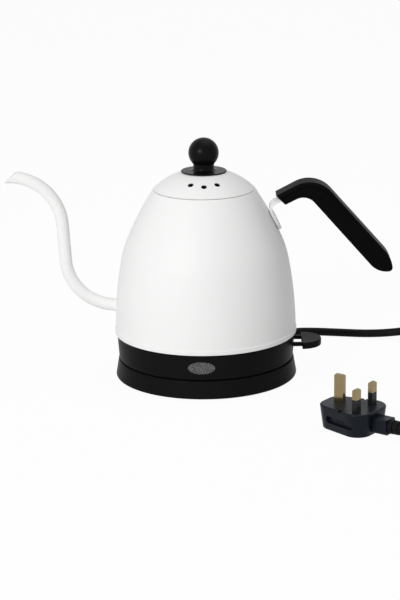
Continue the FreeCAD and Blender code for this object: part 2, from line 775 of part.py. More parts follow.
def lid_liner():
    """Steel ring under the lid that drops into the mouth, with a flange turned in under the dome."""
    out_r = NECK_R - LINER_GAP
    in_r = out_r - LINER_T
    bottom = SEAM_Z - LINER_DEPTH
    top = dome_z(out_r, SHEET) - WELD_GAP
    flange_r = in_r - LINER_FLANGE
    return turned(
        [(in_r, bottom), (out_r, bottom), (out_r, top), (flange_r, top)]
        + [(flange_r, top - LINER_T), (in_r, top - LINER_T)]
    )


def lid_knob():
    """Black ball on a waisted neck and a thin flared flange, with a blind hole for its screw."""
    z = LID_FLAT_Z
    ball_z = z + KNOB_BALL_RISE
    join = math.asin(KNOB_NECK_R / KNOB_BALL_R)
    join_z = ball_z - KNOB_BALL_R * math.cos(join)
    hole_r = KNOB_SCREW_R + SCREW_GAP
    hole_z = z + KNOB_SCREW_L
    waist = flat((KNOB_NECK_R, z + KNOB_NECK_RISE))
    ball_low = flat((KNOB_NECK_R, join_z))
    ball_top = flat((0, ball_z + KNOB_BALL_R))
    ball = Part.Arc(ball_low, flat((KNOB_BALL_R, ball_z)), ball_top).toShape()
    rim = flat((KNOB_FLANGE_R, z + KNOB_FLANGE_EDGE))
    cone = flat((KNOB_NECK_R + KNOB_CONE_RISE, z + KNOB_CONE_RISE + KNOB_FLANGE_EDGE))
    flare = Part.Arc(rim, flat(((rim.x + cone.x) / 2, (rim.z + cone.z) / 2 - 0.3)), cone).toShape()
    neck = joined([cone, waist, ball_low])
    inside = joined([ball_top, flat((0, hole_z)), flat((hole_r, hole_z)), flat((hole_r, z))])
    foot = joined([flat((hole_r, z)), flat((KNOB_FLANGE_R, z)), rim])
    wire = Part.Wire(Part.__sortEdges__(foot + [flare] + neck + [ball] + inside))
    return Part.Face(wire).revolve(ORIGIN, UP, 360)


def knob_washer():
    """Washer between the knob's screw and the inside of the lid."""
    z = LID_FLAT_Z - SHEET - KNOB_WASHER_T
    washer = Part.makeCylinder(KNOB_WASHER_R, KNOB_WASHER_T, UP * z)
    return washer.cut(Part.makeCylinder(KNOB_SCREW_R + SCREW_GAP, KNOB_WASHER_T, UP * z))


def knob_screw():
    """Screw from inside the lid into the knob."""
    head_top = LID_FLAT_Z - SHEET - KNOB_WASHER_T
    foot = UP * (head_top - KNOB_SCREW_HEAD_T)
    shank = KNOB_SCREW_L - SEAT_GAP + LID_FLAT_Z - head_top
    return screw(foot, UP, KNOB_SCREW_R, shank, KNOB_SCREW_HEAD_R, KNOB_SCREW_HEAD_T)


# Handle


def on_handle(point):
    """Point of the handle's outline, whose first value is measured out from the body's radius."""
    return flat((BODY_R + point[0], point[1]))


def leaving_arc(start, along, end):
    """Arc that leaves one point in a given direction and ends at another."""
    chord = end - start
    bulge = along - chord * (along.dot(chord) / chord.dot(chord))
    rise = chord.Length / 2 * math.tan(along.getAngle(chord) / 2)
    return Part.Arc(start, start + chord * 0.5 + bulge.normalize() * rise, end).toShape()


def handle_face():
    """Side outline of the handle: short arm, bend, long arm and ogive end."""
    top = [on_handle(HANDLE_END_TOP), on_handle(HANDLE_TOP_CORNER), on_handle(HANDLE_TOP_OGIVE)]
    low = [on_handle(HANDLE_LOW_OGIVE), on_handle(HANDLE_LOW_CORNER), on_handle(HANDLE_END_LOW)]
    edges = edges_through(top, [0, HANDLE_TOP_BEND, 0], False)
    tip = on_handle(HANDLE_TIP)
    edges.append(leaving_arc(top[-1], top[-1] - top[-2], tip))
    edges.append(leaving_arc(low[0], low[0] - low[1], tip))
    edges += edges_through(low, [0, HANDLE_LOW_BEND, 0], False)
    edges += joined([low[-1], top[0]])
    return Part.Face(Part.Wire(Part.__sortEdges__(edges)))


def arm_frame():
    """Directions along the short arm and along the long arm, and the normals to their top sides."""
    short = (on_handle(HANDLE_TOP_CORNER) - on_handle(HANDLE_END_TOP)).normalize()
    long = (on_handle(HANDLE_TOP_OGIVE) - on_handle(HANDLE_TOP_CORNER)).normalize()
    return short, long, V(-short.z, 0, short.x), V(-long.z, 0, long.x)


def cover_cut(depth_more):
    """Side outline of all that lies above the cover's seam, which runs parallel to the arm's top."""
    short, long, short_up, long_up = arm_frame()
    deep = COVER_DEPTH + depth_more
    shallow = COVER_END_DEPTH + depth_more
    start = on_handle(HANDLE_END_TOP) - short * (4 * deep) - short_up * deep
    corner = on_handle(HANDLE_TOP_CORNER)
    bend_out = HANDLE_TOP_BEND * math.tan(short.getAngle(long) / 2)
    middle = corner - (short_up + long_up).normalize() * (deep / math.cos(short.getAngle(long) / 2))
    run_end = corner + long * (bend_out + COVER_RUN + depth_more)
    end = run_end - long_up * shallow
    far = run_end + long_up * HANDLE_TOP_BEND
    high = start + short_up * (2 * HANDLE_TOP_BEND)
    points = [start, middle, end, far, corner + UP * (2 * HANDLE_TOP_BEND), high]
    radii = [0, HANDLE_TOP_BEND - deep, 0, 0, 0, 0]
    return Part.Face(Part.Wire(edges_through(points, radii, True)))


def rounded_handle(width):
    """The whole handle as one solid of a width, its long edges rounded."""
    whole = across(handle_face(), width)
    tip = [edge for edge in whole.Edges if edge.BoundBox.XMin > on_handle(HANDLE_TIP).x - TINY]
    whole = whole.makeFillet(HANDLE_TIP_ROUND, tip)
    long_edges = []
    for edge in whole.Edges:
        ends = [vertex.Point.y for vertex in edge.Vertexes]
        on_side = max(ends) - min(ends) < TINY
        at_mouth = edge.BoundBox.XMax < on_handle(HANDLE_END_LOW).x + TINY
        if on_side and not at_mouth:
            long_edges.append(edge)
    return whole.makeFillet(HANDLE_EDGE, long_edges)


def strap_points():
    """Corners of the strap's middle line: along the wall, out at the bend and into the handle."""
    low = flat((wall_radius(STRAP_LOW_Z), STRAP_LOW_Z))
    high = flat((wall_radius(STRAP_HIGH_Z), STRAP_HIGH_Z))
    climb = (high - low).normalize()
    away = V(climb.z, 0, -climb.x)
    bulge = wall_radius((STRAP_LOW_Z + STRAP_HIGH_Z) / 2) - (low.x + high.x) / 2
    offset = away * (STRAP_T / 2 + WELD_GAP + bulge)
    short, _, short_up, _ = arm_frame()
    seam = on_handle(HANDLE_END_TOP) - short_up * (COVER_DEPTH + STRAP_T / 2 + STRAP_GAP)
    base = low + offset
    across_gap = (seam - base).dot(short_up) / climb.dot(short_up)
    return base, base + climb * across_gap, seam + short * STRAP_IN


def strap_solid(grown):
    """Bent strap, thicker and wider by a clearance on each side."""
    half = STRAP_T / 2 + grown
    low, bend, inner = strap_points()
    climb = (bend - low).normalize()
    reach = (inner - bend).normalize()
    low = low - climb * grown
    inner = inner + reach * grown
    out_low = V(climb.z, 0, -climb.x) * half
    out_arm = V(reach.z, 0, -reach.x) * half
    half_turn = climb.getAngle(reach) / 2
    miter = (out_low + out_arm).normalize() * (half / math.cos(half_turn))
    points = [low + out_low, bend + miter, inner + out_arm, inner - out_arm, bend - miter, low - out_low]
    radii = [0, STRAP_BEND - half, 0, 0, STRAP_BEND + half, 0]
    return across(Part.Face(Part.Wire(edges_through(points, radii, True))), STRAP_W + 2 * grown)


def grip_screw_places():
    """Feet of the two screws under the short arm, on the grip's lower side."""
    inner = strap_points()[2]
    short, _, short_up, _ = arm_frame()
    mouth = on_handle(HANDLE_END_LOW)
    places = []
    for step in GRIP_SCREW_STEPS:
        on_line = inner - short * (STRAP_IN - step)
        drop = (on_line - mouth).dot(short_up)
        places.append(on_line - short_up * drop)
    return places, short_up


def handle_strap():
    """Steel strap welded to the vessel, with a round lower end and two screw holes in its tongue."""
    strap = strap_solid(0)
    low = strap_points()[0]
    corners = []
    for edge in strap.Edges:
        ends = [vertex.Point for vertex in edge.Vertexes]
        short_edge = abs(edge.Length - STRAP_T) < TINY
        if short_edge and all((end - low).Length < STRAP_W for end in ends) and ends[0].z < low.z + STRAP_T:
            corners.append(edge)
    strap = strap.makeFillet(STRAP_W / 2 - 0.1, corners)
    places, up = grip_screw_places()
    for place in places:
        strap = strap.cut(rod(GRIP_SCREW_R + SCREW_GAP, place, place + up * HANDLE_W))
    return strap


def handle_top_cover():
    """Upper moulding over the short arm and the bend, a little narrower than the grip."""
    cover = rounded_handle(HANDLE_W - 2 * COVER_NARROW)
    return cover.common(across(cover_cut(0), 2 * HANDLE_W))


def handle_lower_grip():
    """Main moulding of the handle, with the strap's slot and two screw pockets below."""
    grip = rounded_handle(HANDLE_W)
    grip = grip.cut(across(cover_cut(COVER_SEAM), 2 * HANDLE_W))
    grip = grip.cut(strap_solid(STRAP_GAP))
    places, up = grip_screw_places()
    for place in places:
        pocket = rod(GRIP_SCREW_HEAD_R + SCREW_GAP, place - up, place + up * GRIP_SCREW_HEAD_T)
        grip = grip.cut(pocket)
        grip = grip.cut(rod(GRIP_SCREW_R + SCREW_GAP, place, place + up * HANDLE_W))
    return grip


def handle_screws():
    """Two screws up through the grip into the strap's tongue."""
    places, up = grip_screw_places()
    inner = strap_points()[2]
    screws = []
    for place in places:
        shank = (inner - place).dot(up) + STRAP_T / 2 - GRIP_SCREW_HEAD_T
        screws.append(screw(place, up, GRIP_SCREW_R, shank, GRIP_SCREW_HEAD_R, GRIP_SCREW_HEAD_T))
    return Part.makeCompound(screws)


# Power base


def base_places(count, radius, z):
    """Places on a ring of the base that keep clear of the lead's entry."""
    return around(count, radius, z, GLAND_TURN - 180.0 / count)


def base_plate():
    """Round bottom plate with pockets for the feet and sunk screw holes."""
    plate = Part.makeCylinder(PLATE_R, PLATE_T, UP * FOOT_STAND)
    for place in base_places(FOOT_COUNT, FOOT_RING_R, FOOT_STAND):
        plate = plate.cut(rod(FOOT_R + WELD_GAP, place, place + UP * FOOT_POCKET))
    for place in base_places(3, BASE_BOSS_RING_R, FOOT_STAND):
        plate = plate.cut(rod(BASE_SCREW_HEAD_R + SCREW_GAP, place, place + UP * BASE_SCREW_HEAD_T))
        plate = plate.cut(rod(BASE_SCREW_R + SCREW_GAP, place, place + UP * PLATE_T))
    return plate


def base_feet():
    """Four round rubber feet that stand proud of the plate."""
    feet = []
    for place in base_places(FOOT_COUNT, FOOT_RING_R, 0):
        foot = rod(FOOT_R, place, place + UP * (FOOT_STAND + FOOT_POCKET))
        feet.append(foot.makeFillet(FOOT_STAND / 2, [foot.Edges[2]]))
    return Part.makeCompound(feet)


def base_screws():
    """Three screws through the plate into the cover's bosses."""
    screws = []
    for place in base_places(3, BASE_BOSS_RING_R, FOOT_STAND):
        screws.append(screw(place, UP, BASE_SCREW_R, BASE_SCREW_L, BASE_SCREW_HEAD_R, BASE_SCREW_HEAD_T))
    return Part.makeCompound(screws)


def gland_frame():
    """Where the gland crosses the cover's wall, and the direction in which it points."""
    return heading(GLAND_TURN) * (PLATE_R + SEAT_GAP) + UP * GLAND_Z, heading(GLAND_TURN)


def base_cover():
    """Coned shell of the power base: rounded foot, lip, sunk deck and seat ring."""
    low = FOOT_STAND + 0.2
    lip_r = PLATE_R + SEAT_GAP
    ring_in = SEAT_RING_R - SEAT_RING_W
    hole = TOWER_R - 2 * CONTACT_RING_T
    wall_in_low = COVER_BOTTOM_R - COVER_WALL
    wall_in_top = COVER_TOP_R - COVER_WALL
    step_z = PLATE_TOP_Z + SEAT_GAP
    cone = [(lip_r, low), (COVER_BOTTOM_R, low, COVER_EDGE), (COVER_TOP_R, COVER_TOP_Z, 1.0)]
    lip = [(COVER_LIP_R, COVER_TOP_Z, 0.6), (COVER_LIP_R - 1, DECK_Z, 0.6)]
    ring = [(SEAT_RING_R + 0.5, DECK_Z, 0.4), (SEAT_RING_R, SKIRT_BOTTOM_Z, 0.6)]
    ring += [(ring_in, SKIRT_BOTTOM_Z, 0.6), (ring_in - 0.5, DECK_Z, 0.4)]
    inside = [(hole, DECK_Z), (hole, DECK_UNDER_Z), (wall_in_top, DECK_UNDER_Z, 1.0)]
    inside += [(wall_in_low, step_z), (lip_r, step_z)]
    shell = turned(cone + lip + ring + inside)
    for place in base_places(3, BASE_BOSS_RING_R, 0):
        boss = rod(BASE_BOSS_R, place + UP * PLATE_TOP_Z, place + UP * DECK_UNDER_Z)
        bore_top = FOOT_STAND + BASE_SCREW_HEAD_T + BASE_SCREW_L + SEAT_GAP
        boss = boss.cut(rod(BASE_SCREW_R + SCREW_GAP, place, place + UP * bore_top))
        shell = shell.fuse(boss)
    start, out = gland_frame()
    entry = rod(GLAND_R + WELD_GAP, start - out * COVER_WALL, start + out * (4 * COVER_WALL))
    return shell.cut(entry).removeSplitter()


def base_connector():
    """Round tower on the deck with two ring grooves and a middle hole for its contacts."""
    low = DECK_Z
    top = TOWER_TOP_Z
    tower = turned(
        [(0, low), (TOWER_FLANGE_R, low), (TOWER_FLANGE_R, low + TOWER_FLANGE_T, 0.6)]
        + [(TOWER_R, low + TOWER_FLANGE_T, 0.8), (TOWER_R, top, 1.2), (0, top)]
    )
    groove = CONTACT_RING_T / 2 + CONTACT_GROOVE_GAP
    for ring_r in CONTACT_RING_R:
        cut = Part.makeCylinder(ring_r + groove, CONTACT_DEPTH, UP * (top - CONTACT_DEPTH))
        cut = cut.cut(Part.makeCylinder(ring_r - groove, CONTACT_DEPTH, UP * (top - CONTACT_DEPTH)))
        tower = tower.cut(cut)
    return tower.cut(Part.makeCylinder(EARTH_PIN_R + WELD_GAP, CONTACT_DEPTH, UP * (top - CONTACT_DEPTH)))


def connector_contacts():
    """Two brass rings and a brass middle pin, standing on the bottoms of their grooves."""
    low = TOWER_TOP_Z - CONTACT_DEPTH
    height = CONTACT_DEPTH - CONTACT_SHORT
    contacts = [Part.makeCylinder(EARTH_PIN_R, CONTACT_DEPTH + EARTH_PIN_STAND, UP * low)]
    for ring_r in CONTACT_RING_R:
        ring = Part.makeCylinder(ring_r + CONTACT_RING_T / 2, height, UP * low)
        contacts.append(ring.cut(Part.makeCylinder(ring_r - CONTACT_RING_T / 2, height, UP * low)))
    return Part.makeCompound(contacts)


def ribbed_sleeve(length, start_r, end_r, ribs):
    """Tapered sleeve along +X with ring grooves between its ribs."""
    pitch = length / (ribs + 1)
    sleeve = Part.makeCone(start_r, end_r, length, ORIGIN, V(1, 0, 0))
    for i in range(ribs):
        x = pitch * (i + 1) - RIB_W / 2
        depth_r = start_r + (end_r - start_r) * (i + 1) / (ribs + 1) - RIB_DEPTH
        ring = Part.makeCylinder(start_r + 1, RIB_W, V(x, 0, 0), V(1, 0, 0))
        sleeve = sleeve.cut(ring.cut(Part.makeCylinder(depth_r, RIB_W, V(x, 0, 0), V(1, 0, 0))))
    return sleeve


def cord_gland():
    """Strain relief of the lead: a stem inside the base and a ribbed, tapered sleeve outside."""
    start, out = gland_frame()
    straight = COVER_BOTTOM_R - PLATE_R - SEAT_GAP
    sleeve = ribbed_sleeve(GLAND_OUT, GLAND_R, GLAND_END_R, GLAND_RIBS)
    sleeve.translate(V(straight, 0, 0))
    sleeve = sleeve.fuse(Part.makeCylinder(GLAND_R, straight, ORIGIN, V(1, 0, 0)))
    sleeve = sleeve.fuse(Part.makeCylinder(GLAND_STEM_R, GLAND_STEM, V(-GLAND_STEM, 0, 0), V(1, 0, 0)))
    sleeve.rotate(ORIGIN, UP, GLAND_TURN)
    sleeve.translate(start)
    return sleeve.removeSplitter()


def gland_end():
    """Middle of the gland's outer end face."""
    start, out = gland_frame()
    return start + out * (COVER_BOTTOM_R - PLATE_R - SEAT_GAP + GLAND_OUT)


# Mains lead


def coil_point(angle, z):
    """Point of the coil's ring at an angle in degrees."""
    return V(COIL_X, COIL_Y, z) + heading(angle) * COIL_R


def base_route():
    """From the coil's upper end to the gland, easing down onto the worktop behind the base."""
    start = coil_point(90, COIL_TOP_Z) - V(COIL_END, 0, 0)
    end = gland_end()
    out = heading(GLAND_TURN)
    sagging = [V(168, 83.5, 7.6), V(143, 91.5, 4.0), V(117, 98.0, 3.6), V(94, 99.0, 4.6)]
    return [start, start - V(14, 0, 0)] + sagging + [end + out * 16, end]


def plug_route():
    """From the plug's tail, out to the side and back along the worktop to the coil's lower end."""
    tail = plug_placed_point(PLUG_TAIL_X + TAIL_L, PLUG_NECK_Z)
    out = heading(PLUG_HEADING)
    end = coil_point(0, COIL_Z) - V(0, COIL_END, 0)
    return [
        tail,
        tail + out * 20,
        V(200, -202.5, 5.4),
        V(225, -195.5, 3.7),
        V(243.5, -177, 3.6),
        V(251.5, -149, 3.6),
        V(253, -108, 3.6),
        V(253.4, -53, 3.7),
        end - V(0, 30, 0),
        end,
    ]


def cord_tube(name, route):
    """Lead along a route of straight runs joined by the largest arcs that the runs leave room for."""
    radii = [0.0]
    for before, corner, after in zip(route, route[1:], route[2:]):
        turn = math.pi - (before - corner).getAngle(after - corner)
        shorter = min((corner - before).Length, (after - corner).Length)
        radii.append(CORD_SHARE * shorter / math.tan(turn / 2))
    radii.append(0.0)
    edges = edges_through(route, radii, False)
    length = sum(edge.Length for edge in edges)
    solid = tube(edges, CORD_R)
    share = solid.Volume / (math.pi * CORD_R**2 * length)
    print(name, "length", round(length, 1), "volume share", round(share, 4))
    print(name, "bend radii", [round(r) for r in radii[1:-1]])
    return solid


def mains_cord_base():
    """Lead from the coil to the base."""
    return cord_tube("mains_cord_base", base_route())


def mains_cord_plug():
    """Lead from the plug to the coil."""
    return cord_tube("mains_cord_plug", plug_route())


def tangent_arc(start, along, end):
    """Arc from a point with a direction there to another point."""
    chord = end - start
    side = along - chord * (along.dot(chord) / chord.dot(chord))
    if side.Length < TINY:
        return Part.LineSegment(start, end).toShape()
    bulge = chord.Length / 2 * math.tan(along.getAngle(chord) / 2)
    return Part.Arc(start, start + chord * 0.5 + side.normalize() * bulge, end).toShape()


def biarc(start, along, end, arriving):
    """Two tangent arcs between two points with given directions."""
    chord = end - start
    both = along + arriving
    spare = 2 * (1 - along.dot(arriving))
    reach = (math.sqrt(chord.dot(both) ** 2 + 2 * spare * chord.dot(chord) / 2) - chord.dot(both)) / spare
    middle = (start + along * reach + end - arriving * reach) * 0.5
    second = tangent_arc(end, arriving * -1, middle)
    return [tangent_arc(start, along, middle), second]


def coil_edges():
    """One turn on the worktop that climbs in its second half, and a quarter turn on top of it."""
    climb = 1.5 * COIL_LAYER / (math.pi * COIL_R)
    slopes = [0, 0, 0, climb, 0, 0]
    heights = [COIL_Z, COIL_Z, COIL_Z, (COIL_Z + COIL_TOP_Z) / 2, COIL_TOP_Z, COIL_TOP_Z]
    stops = [coil_point(90 * i, z) for i, z in enumerate(heights)]
    ways = [(heading(90 * i + 90) + UP * slope).normalize() for i, slope in enumerate(slopes)]
    edges = joined([stops[0] - ways[0] * COIL_END, stops[0]])
    for i in range(5):
        edges += biarc(stops[i], ways[i], stops[i + 1], ways[i + 1])
    return edges + joined([stops[-1], stops[-1] + ways[-1] * COIL_END])


def cord_coil():
    """Spare lead, one unbroken tube in a turn and a quarter."""
    wire = Part.Wire(Part.__sortEdges__(coil_edges()))
    start = coil_point(0, COIL_Z) - V(0, COIL_END, 0)
    ring = Part.Wire(Part.makeCircle(CORD_R, start, V(0, 1, 0)))
    solid = wire.makePipeShell([ring], True, False)
    points = wire.discretize(Distance=4.0)
    least = min(
        a.distanceToPoint(b)
        for i, a in enumerate(points)
        for b in points[i + 10 :]
    )
    print("cord_coil length", round(wire.Length, 1), "least gap", round(least - 2 * CORD_R, 2))
    print("cord_coil volume share", round(solid.Volume / (math.pi * CORD_R**2 * wire.Length), 4))
    return solid


def cord_tie():
    """Band round the coil's two layers."""
    half_w = CORD_R + TIE_GAP
    low = COIL_Z - half_w
    high = COIL_TOP_Z + half_w
    r = CORD_R
    inner = section([(-half_w, low, r), (half_w, low, r), (half_w, high, r), (-half_w, high, r)])
    w = half_w + TIE_T
    r = r + TIE_T
    bottom = low - TIE_T
    top = high + TIE_T
    outer = section([(-w, bottom, r), (w, bottom, r), (w, top, r), (-w, top, r)])
    band = across(outer, TIE_W).cut(across(inner, 2 * TIE_W))
    band.translate(V(COIL_R, 0, 0))
    band.rotate(ORIGIN, UP, TIE_ANGLE)
    band.translate(V(COIL_X, COIL_Y, 0))
    return band


# Plug, made at the origin with its lead along +X and then laid in its place


def plug_placed_point(x, z):
    """A point on the plug's middle line, where the plug lies."""
    return V(PLUG_X, PLUG_Y, z) + heading(PLUG_HEADING) * x


def plug_placed(solid):
    """A piece of the plug, laid where the plug lies."""
    laid = solid.copy()
    laid.rotate(ORIGIN, UP, PLUG_HEADING)
    laid.translate(V(PLUG_X, PLUG_Y, 0))
    return laid


def plug_wire(share, z):
    """The plug's rounded outline at a height, drawn in by a share towards its back."""
    points = [V(x * share, y * share, z) for x, y, _ in PLUG_OUTLINE]
    radii = [radius * share for _, _, radius in PLUG_OUTLINE]
    return Part.Wire(edges_through(points, radii, True))


def pin_places():
    """Middle of each pin's foot with its section and length: earth, line and neutral."""
    earth = V(PIN_X - PIN_PITCH, 0, PLUG_H)
    return [
        (earth, EARTH_PIN),
        (V(PIN_X, PIN_PITCH / 2, PLUG_H), LINE_PIN),
        (V(PIN_X, -PIN_PITCH / 2, PLUG_H), LINE_PIN),
    ]


def pin_block(foot, wide, thick, low, high):
    """Upright bar of a pin between two heights above the plug's face."""
    return block((wide, thick, high - low), foot + UP * ((low + high) / 2))


def plug_body():
    """Moulded plug: rounded shield shape, drawn in to its back, with side grips, neck and fuse pocket."""
    body = Part.makeLoft([plug_wire(PLUG_BACK_SHARE, 0), plug_wire(1, PLUG_H)], True, True)
    rims = [edge for edge in body.Edges if abs(edge.BoundBox.ZMax - edge.BoundBox.ZMin) < TINY]
    body = body.makeFillet(PLUG_EDGE, rims)
    x_end = PLUG_OUTLINE[1][0]
    neck_size = (2 * PLUG_NECK[0], PLUG_NECK[1], PLUG_NECK[2])
    neck = block(neck_size, V(x_end, 0, PLUG_NECK_Z))
    along = [edge for edge in neck.Edges if abs(edge.BoundBox.XLength - neck_size[0]) < TINY]
    body = body.fuse(neck.makeFillet(2.0, along))
    for side in (-1, 1):
        first = V(PLUG_OUTLINE[0][0], side * PLUG_OUTLINE[3][1], 0)
        second = V(PLUG_OUTLINE[2][0], side * PLUG_OUTLINE[2][1], 0)
        lean = math.degrees(math.atan2(second.y - first.y, second.x - first.x))
        length, height, depth = GRIP_POCKET
        share = PLUG_BACK_SHARE + (1 - PLUG_BACK_SHARE) * GRIP_POCKET_Z / PLUG_H
        pocket = block((length, 2 * depth, height), ORIGIN)
        upright = [edge for edge in pocket.Edges if abs(edge.BoundBox.YLength - 2 * depth) < TINY]
        pocket = pocket.makeFillet(height * 0.45, upright)
        pocket.rotate(ORIGIN, UP, lean)
        pocket.translate((first + second) * (share / 2) + UP * GRIP_POCKET_Z)
        body = body.cut(pocket)
    gap = FUSE_BOX_GAP
    room = (FUSE_BOX[0] + 2 * gap, FUSE_BOX[1] + 2 * gap, FUSE_BOX[2] + gap)
    body = body.cut(block(room, V(FUSE_BOX_X, 0, PLUG_H - room[2] / 2)))
    for side in (-1, 1):
        centre = V(FUSE_BOX_X, side * (room[1] + PRISE_SLOT[1]) / 2, PLUG_H - PRISE_SLOT[2] / 2)
        body = body.cut(block(PRISE_SLOT, centre))
    for foot, (wide, thick, _) in pin_places():
        body = body.cut(pin_block(foot, wide, thick, -PIN_ROOT, 1))
    return plug_placed(body.removeSplitter())


def plug_pins():
    """Three brass pins; the two shorter ones are stepped in where their sleeves go."""
    pins = []
    for foot, (wide, thick, length) in pin_places():
        sleeved = length < EARTH_PIN[2]
        low = SLEEVE_L if sleeved else -PIN_ROOT
        bar = pin_block(foot, wide, thick, low, length)
        tip_z = foot.z + length
        tips = [edge for edge in bar.Edges if abs(edge.BoundBox.ZMin - tip_z) < TINY]
        bar = bar.makeChamfer(PIN_TIP, tips)
        if sleeved:
            core = pin_block(foot, wide - 2 * SLEEVE_T, thick - 2 * SLEEVE_T, 0, SLEEVE_L)
            bar = bar.fuse(core).fuse(pin_block(foot, wide, thick, -PIN_ROOT, 0))
        pins.append(plug_placed(bar.removeSplitter()))
    return Part.makeCompound(pins)


def pin_sleeves():
    """Insulating sleeves flush with the two shorter pins."""
    sleeves = []
    for foot, (wide, thick, _) in pin_places()[1:]:
        sleeve = pin_block(foot, wide, thick, 0, SLEEVE_L)
        core = pin_block(foot, wide - 2 * SLEEVE_T, thick - 2 * SLEEVE_T, 0, SLEEVE_L)
        sleeves.append(plug_placed(sleeve.cut(core)))
    return Part.makeCompound(sleeves)


def fuse_middle():
    """Middle of the fuse in its carrier."""
    return V(FUSE_BOX_X, 0, PLUG_H - FUSE_BOX[2] + FUSE_R + FUSE_BOX_WALL)


def fuse_carrier():
    """Pull-out drawer between the pins, open below, that holds the fuse."""
    carrier = block(FUSE_BOX, V(FUSE_BOX_X, 0, PLUG_H - FUSE_BOX[2] / 2))
    middle = fuse_middle()
    half = FUSE_L / 2 + WELD_GAP
    room = rod(FUSE_R + WELD_GAP, middle - V(0, half, 0), middle + V(0, half, 0))
    mouth_w = 2 * FUSE_R * 0.8
    mouth = block((mouth_w, 2 * half, 2 * FUSE_R), middle - UP * FUSE_R)
    return plug_placed(carrier.cut(room).cut(mouth))


def fuse():
    """Cartridge fuse: barrel with two end caps."""
    middle = fuse_middle()
    half = V(0, FUSE_L / 2, 0)
    cap = V(0, FUSE_CAP_L, 0)
    barrel = rod(FUSE_R - 0.3, middle - half + cap, middle + half - cap)
    near = rod(FUSE_R, middle - half, middle - half + cap)
    caps = near.fuse(rod(FUSE_R, middle + half - cap, middle + half))
    return plug_placed(barrel.fuse(caps))


def plug_strain_relief():
    """Ribbed, tapered sleeve on the plug's neck."""
    sleeve = ribbed_sleeve(TAIL_L, TAIL_R, TAIL_END_R, TAIL_RIBS)
    sleeve.translate(V(PLUG_TAIL_X, 0, PLUG_NECK_Z))
    return plug_placed(sleeve)


PIECES = [
    base_plate,
    base_feet,
    base_cover,
    base_screws,
    base_connector,
    connector_contacts,
    cord_gland,
    mains_cord_base,
    mains_cord_plug,
    cord_coil,
    cord_tie,
    plug_body,
    plug_pins,
    pin_sleeves,
    fuse_carrier,
    fuse,
    plug_strain_relief,
    connector_socket,
    base_skirt,
    skirt_screws,
    indicator_lens,
    indicator_lamp,
    steam_switch,
    bimetal_disc,
    switch_lever,
    steam_tube,
    control_unit,
    heating_element,
    heat_spreader,
    vessel_floor,
    vessel_body,
    spout_tube,
    handle_strap,
    handle_lower_grip,
    handle_top_cover,
    handle_screws,
    lid_shell,
    lid_liner,
    lid_knob,
    knob_washer,
    knob_screw,
]


def main():
    """Write each piece to its own file."""
    os.makedirs("parts", exist_ok=True)
    for make in PIECES:
        shape = make()
        assert shape.isValid(), make.__name__
        shape.exportStep("parts/" + make.__name__ + ".step")
        print(make.__name__, len(shape.Solids), "solids", round(shape.Volume), "mm3")


main()
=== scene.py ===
"""Looks of the gooseneck kettle, its power base, its lead and its plug.

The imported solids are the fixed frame. This file gives them their finishes, draws the smooth pressed and
drawn pieces finer than the solids, lays the lead, and sets up the studio. Sizes are in millimetres in the
dataclasses and are turned into metres when a mesh is made.
"""

import logging
import math
from collections.abc import Callable
from dataclasses import dataclass
from enum import Enum

import bmesh
import bpy
import numpy as np
from mathutils import Matrix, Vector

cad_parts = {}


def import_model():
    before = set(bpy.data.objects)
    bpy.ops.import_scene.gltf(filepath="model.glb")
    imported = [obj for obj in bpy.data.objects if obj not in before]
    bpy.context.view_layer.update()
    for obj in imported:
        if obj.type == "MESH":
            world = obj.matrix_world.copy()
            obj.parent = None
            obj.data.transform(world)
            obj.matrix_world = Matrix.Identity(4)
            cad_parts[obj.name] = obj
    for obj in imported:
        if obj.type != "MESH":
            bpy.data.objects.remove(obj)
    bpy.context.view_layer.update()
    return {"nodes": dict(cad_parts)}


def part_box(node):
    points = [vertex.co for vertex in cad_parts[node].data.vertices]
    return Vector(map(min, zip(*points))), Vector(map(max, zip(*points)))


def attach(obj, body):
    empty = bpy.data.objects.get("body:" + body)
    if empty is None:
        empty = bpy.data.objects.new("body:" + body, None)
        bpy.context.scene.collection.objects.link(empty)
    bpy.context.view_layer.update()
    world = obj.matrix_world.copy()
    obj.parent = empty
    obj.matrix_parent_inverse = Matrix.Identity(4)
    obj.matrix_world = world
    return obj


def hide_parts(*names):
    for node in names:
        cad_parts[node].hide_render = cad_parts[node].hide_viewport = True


LOG = logging.getLogger("kettle")
MM = 0.001
NOISE_LOW = 0.3
NOISE_HIGH = 0.7
BUMP_STRENGTH = 0.5
HALVINGS = 40
CREASE = 40.0
Triple = tuple[float, float, float]
Output = bpy.types.NodeSocket
Field = Callable[[np.ndarray], np.ndarray]


class Body(Enum):
    """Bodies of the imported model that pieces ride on."""

    BASE = "power_base"
    KETTLE = "kettle"
    LID = "lid"


class Slot(Enum):
    """Material slots of the record."""

    ENAMEL = "white_enamel"
    KNOB = "knob_plastic"
    RUBBER = "black_rubber"


# Meshes


def grid_quads(rows: int, cols: int, close_rows: bool = False) -> np.ndarray:
    """Quads of a grid of points whose columns close into rings.

    Args:
        rows: number of rings.
        cols: number of points in each ring.
        close_rows: whether the last ring joins the first.

    Returns:
        Array of vertex numbers, four to a row.
    """
    ring, spoke = np.meshgrid(np.arange(rows if close_rows else rows - 1), np.arange(cols), indexing="ij")
    next_spoke = (spoke + 1) % cols
    this_row = ring * cols
    next_row = (ring + 1) % rows * cols
    corners = [this_row + spoke, this_row + next_spoke, next_row + next_spoke, next_row + spoke]
    return np.stack(corners, axis=-1).reshape(-1, 4)


def signed_volume(points: np.ndarray, quads: np.ndarray) -> float:
    """Volume inside a closed mesh, negative where its faces point inwards."""
    a, b, c, d = (points[quads[:, i]] for i in range(4))
    return float(np.einsum("ij,ij->", a, np.cross(b, c)) + np.einsum("ij,ij->", a, np.cross(c, d))) / 6


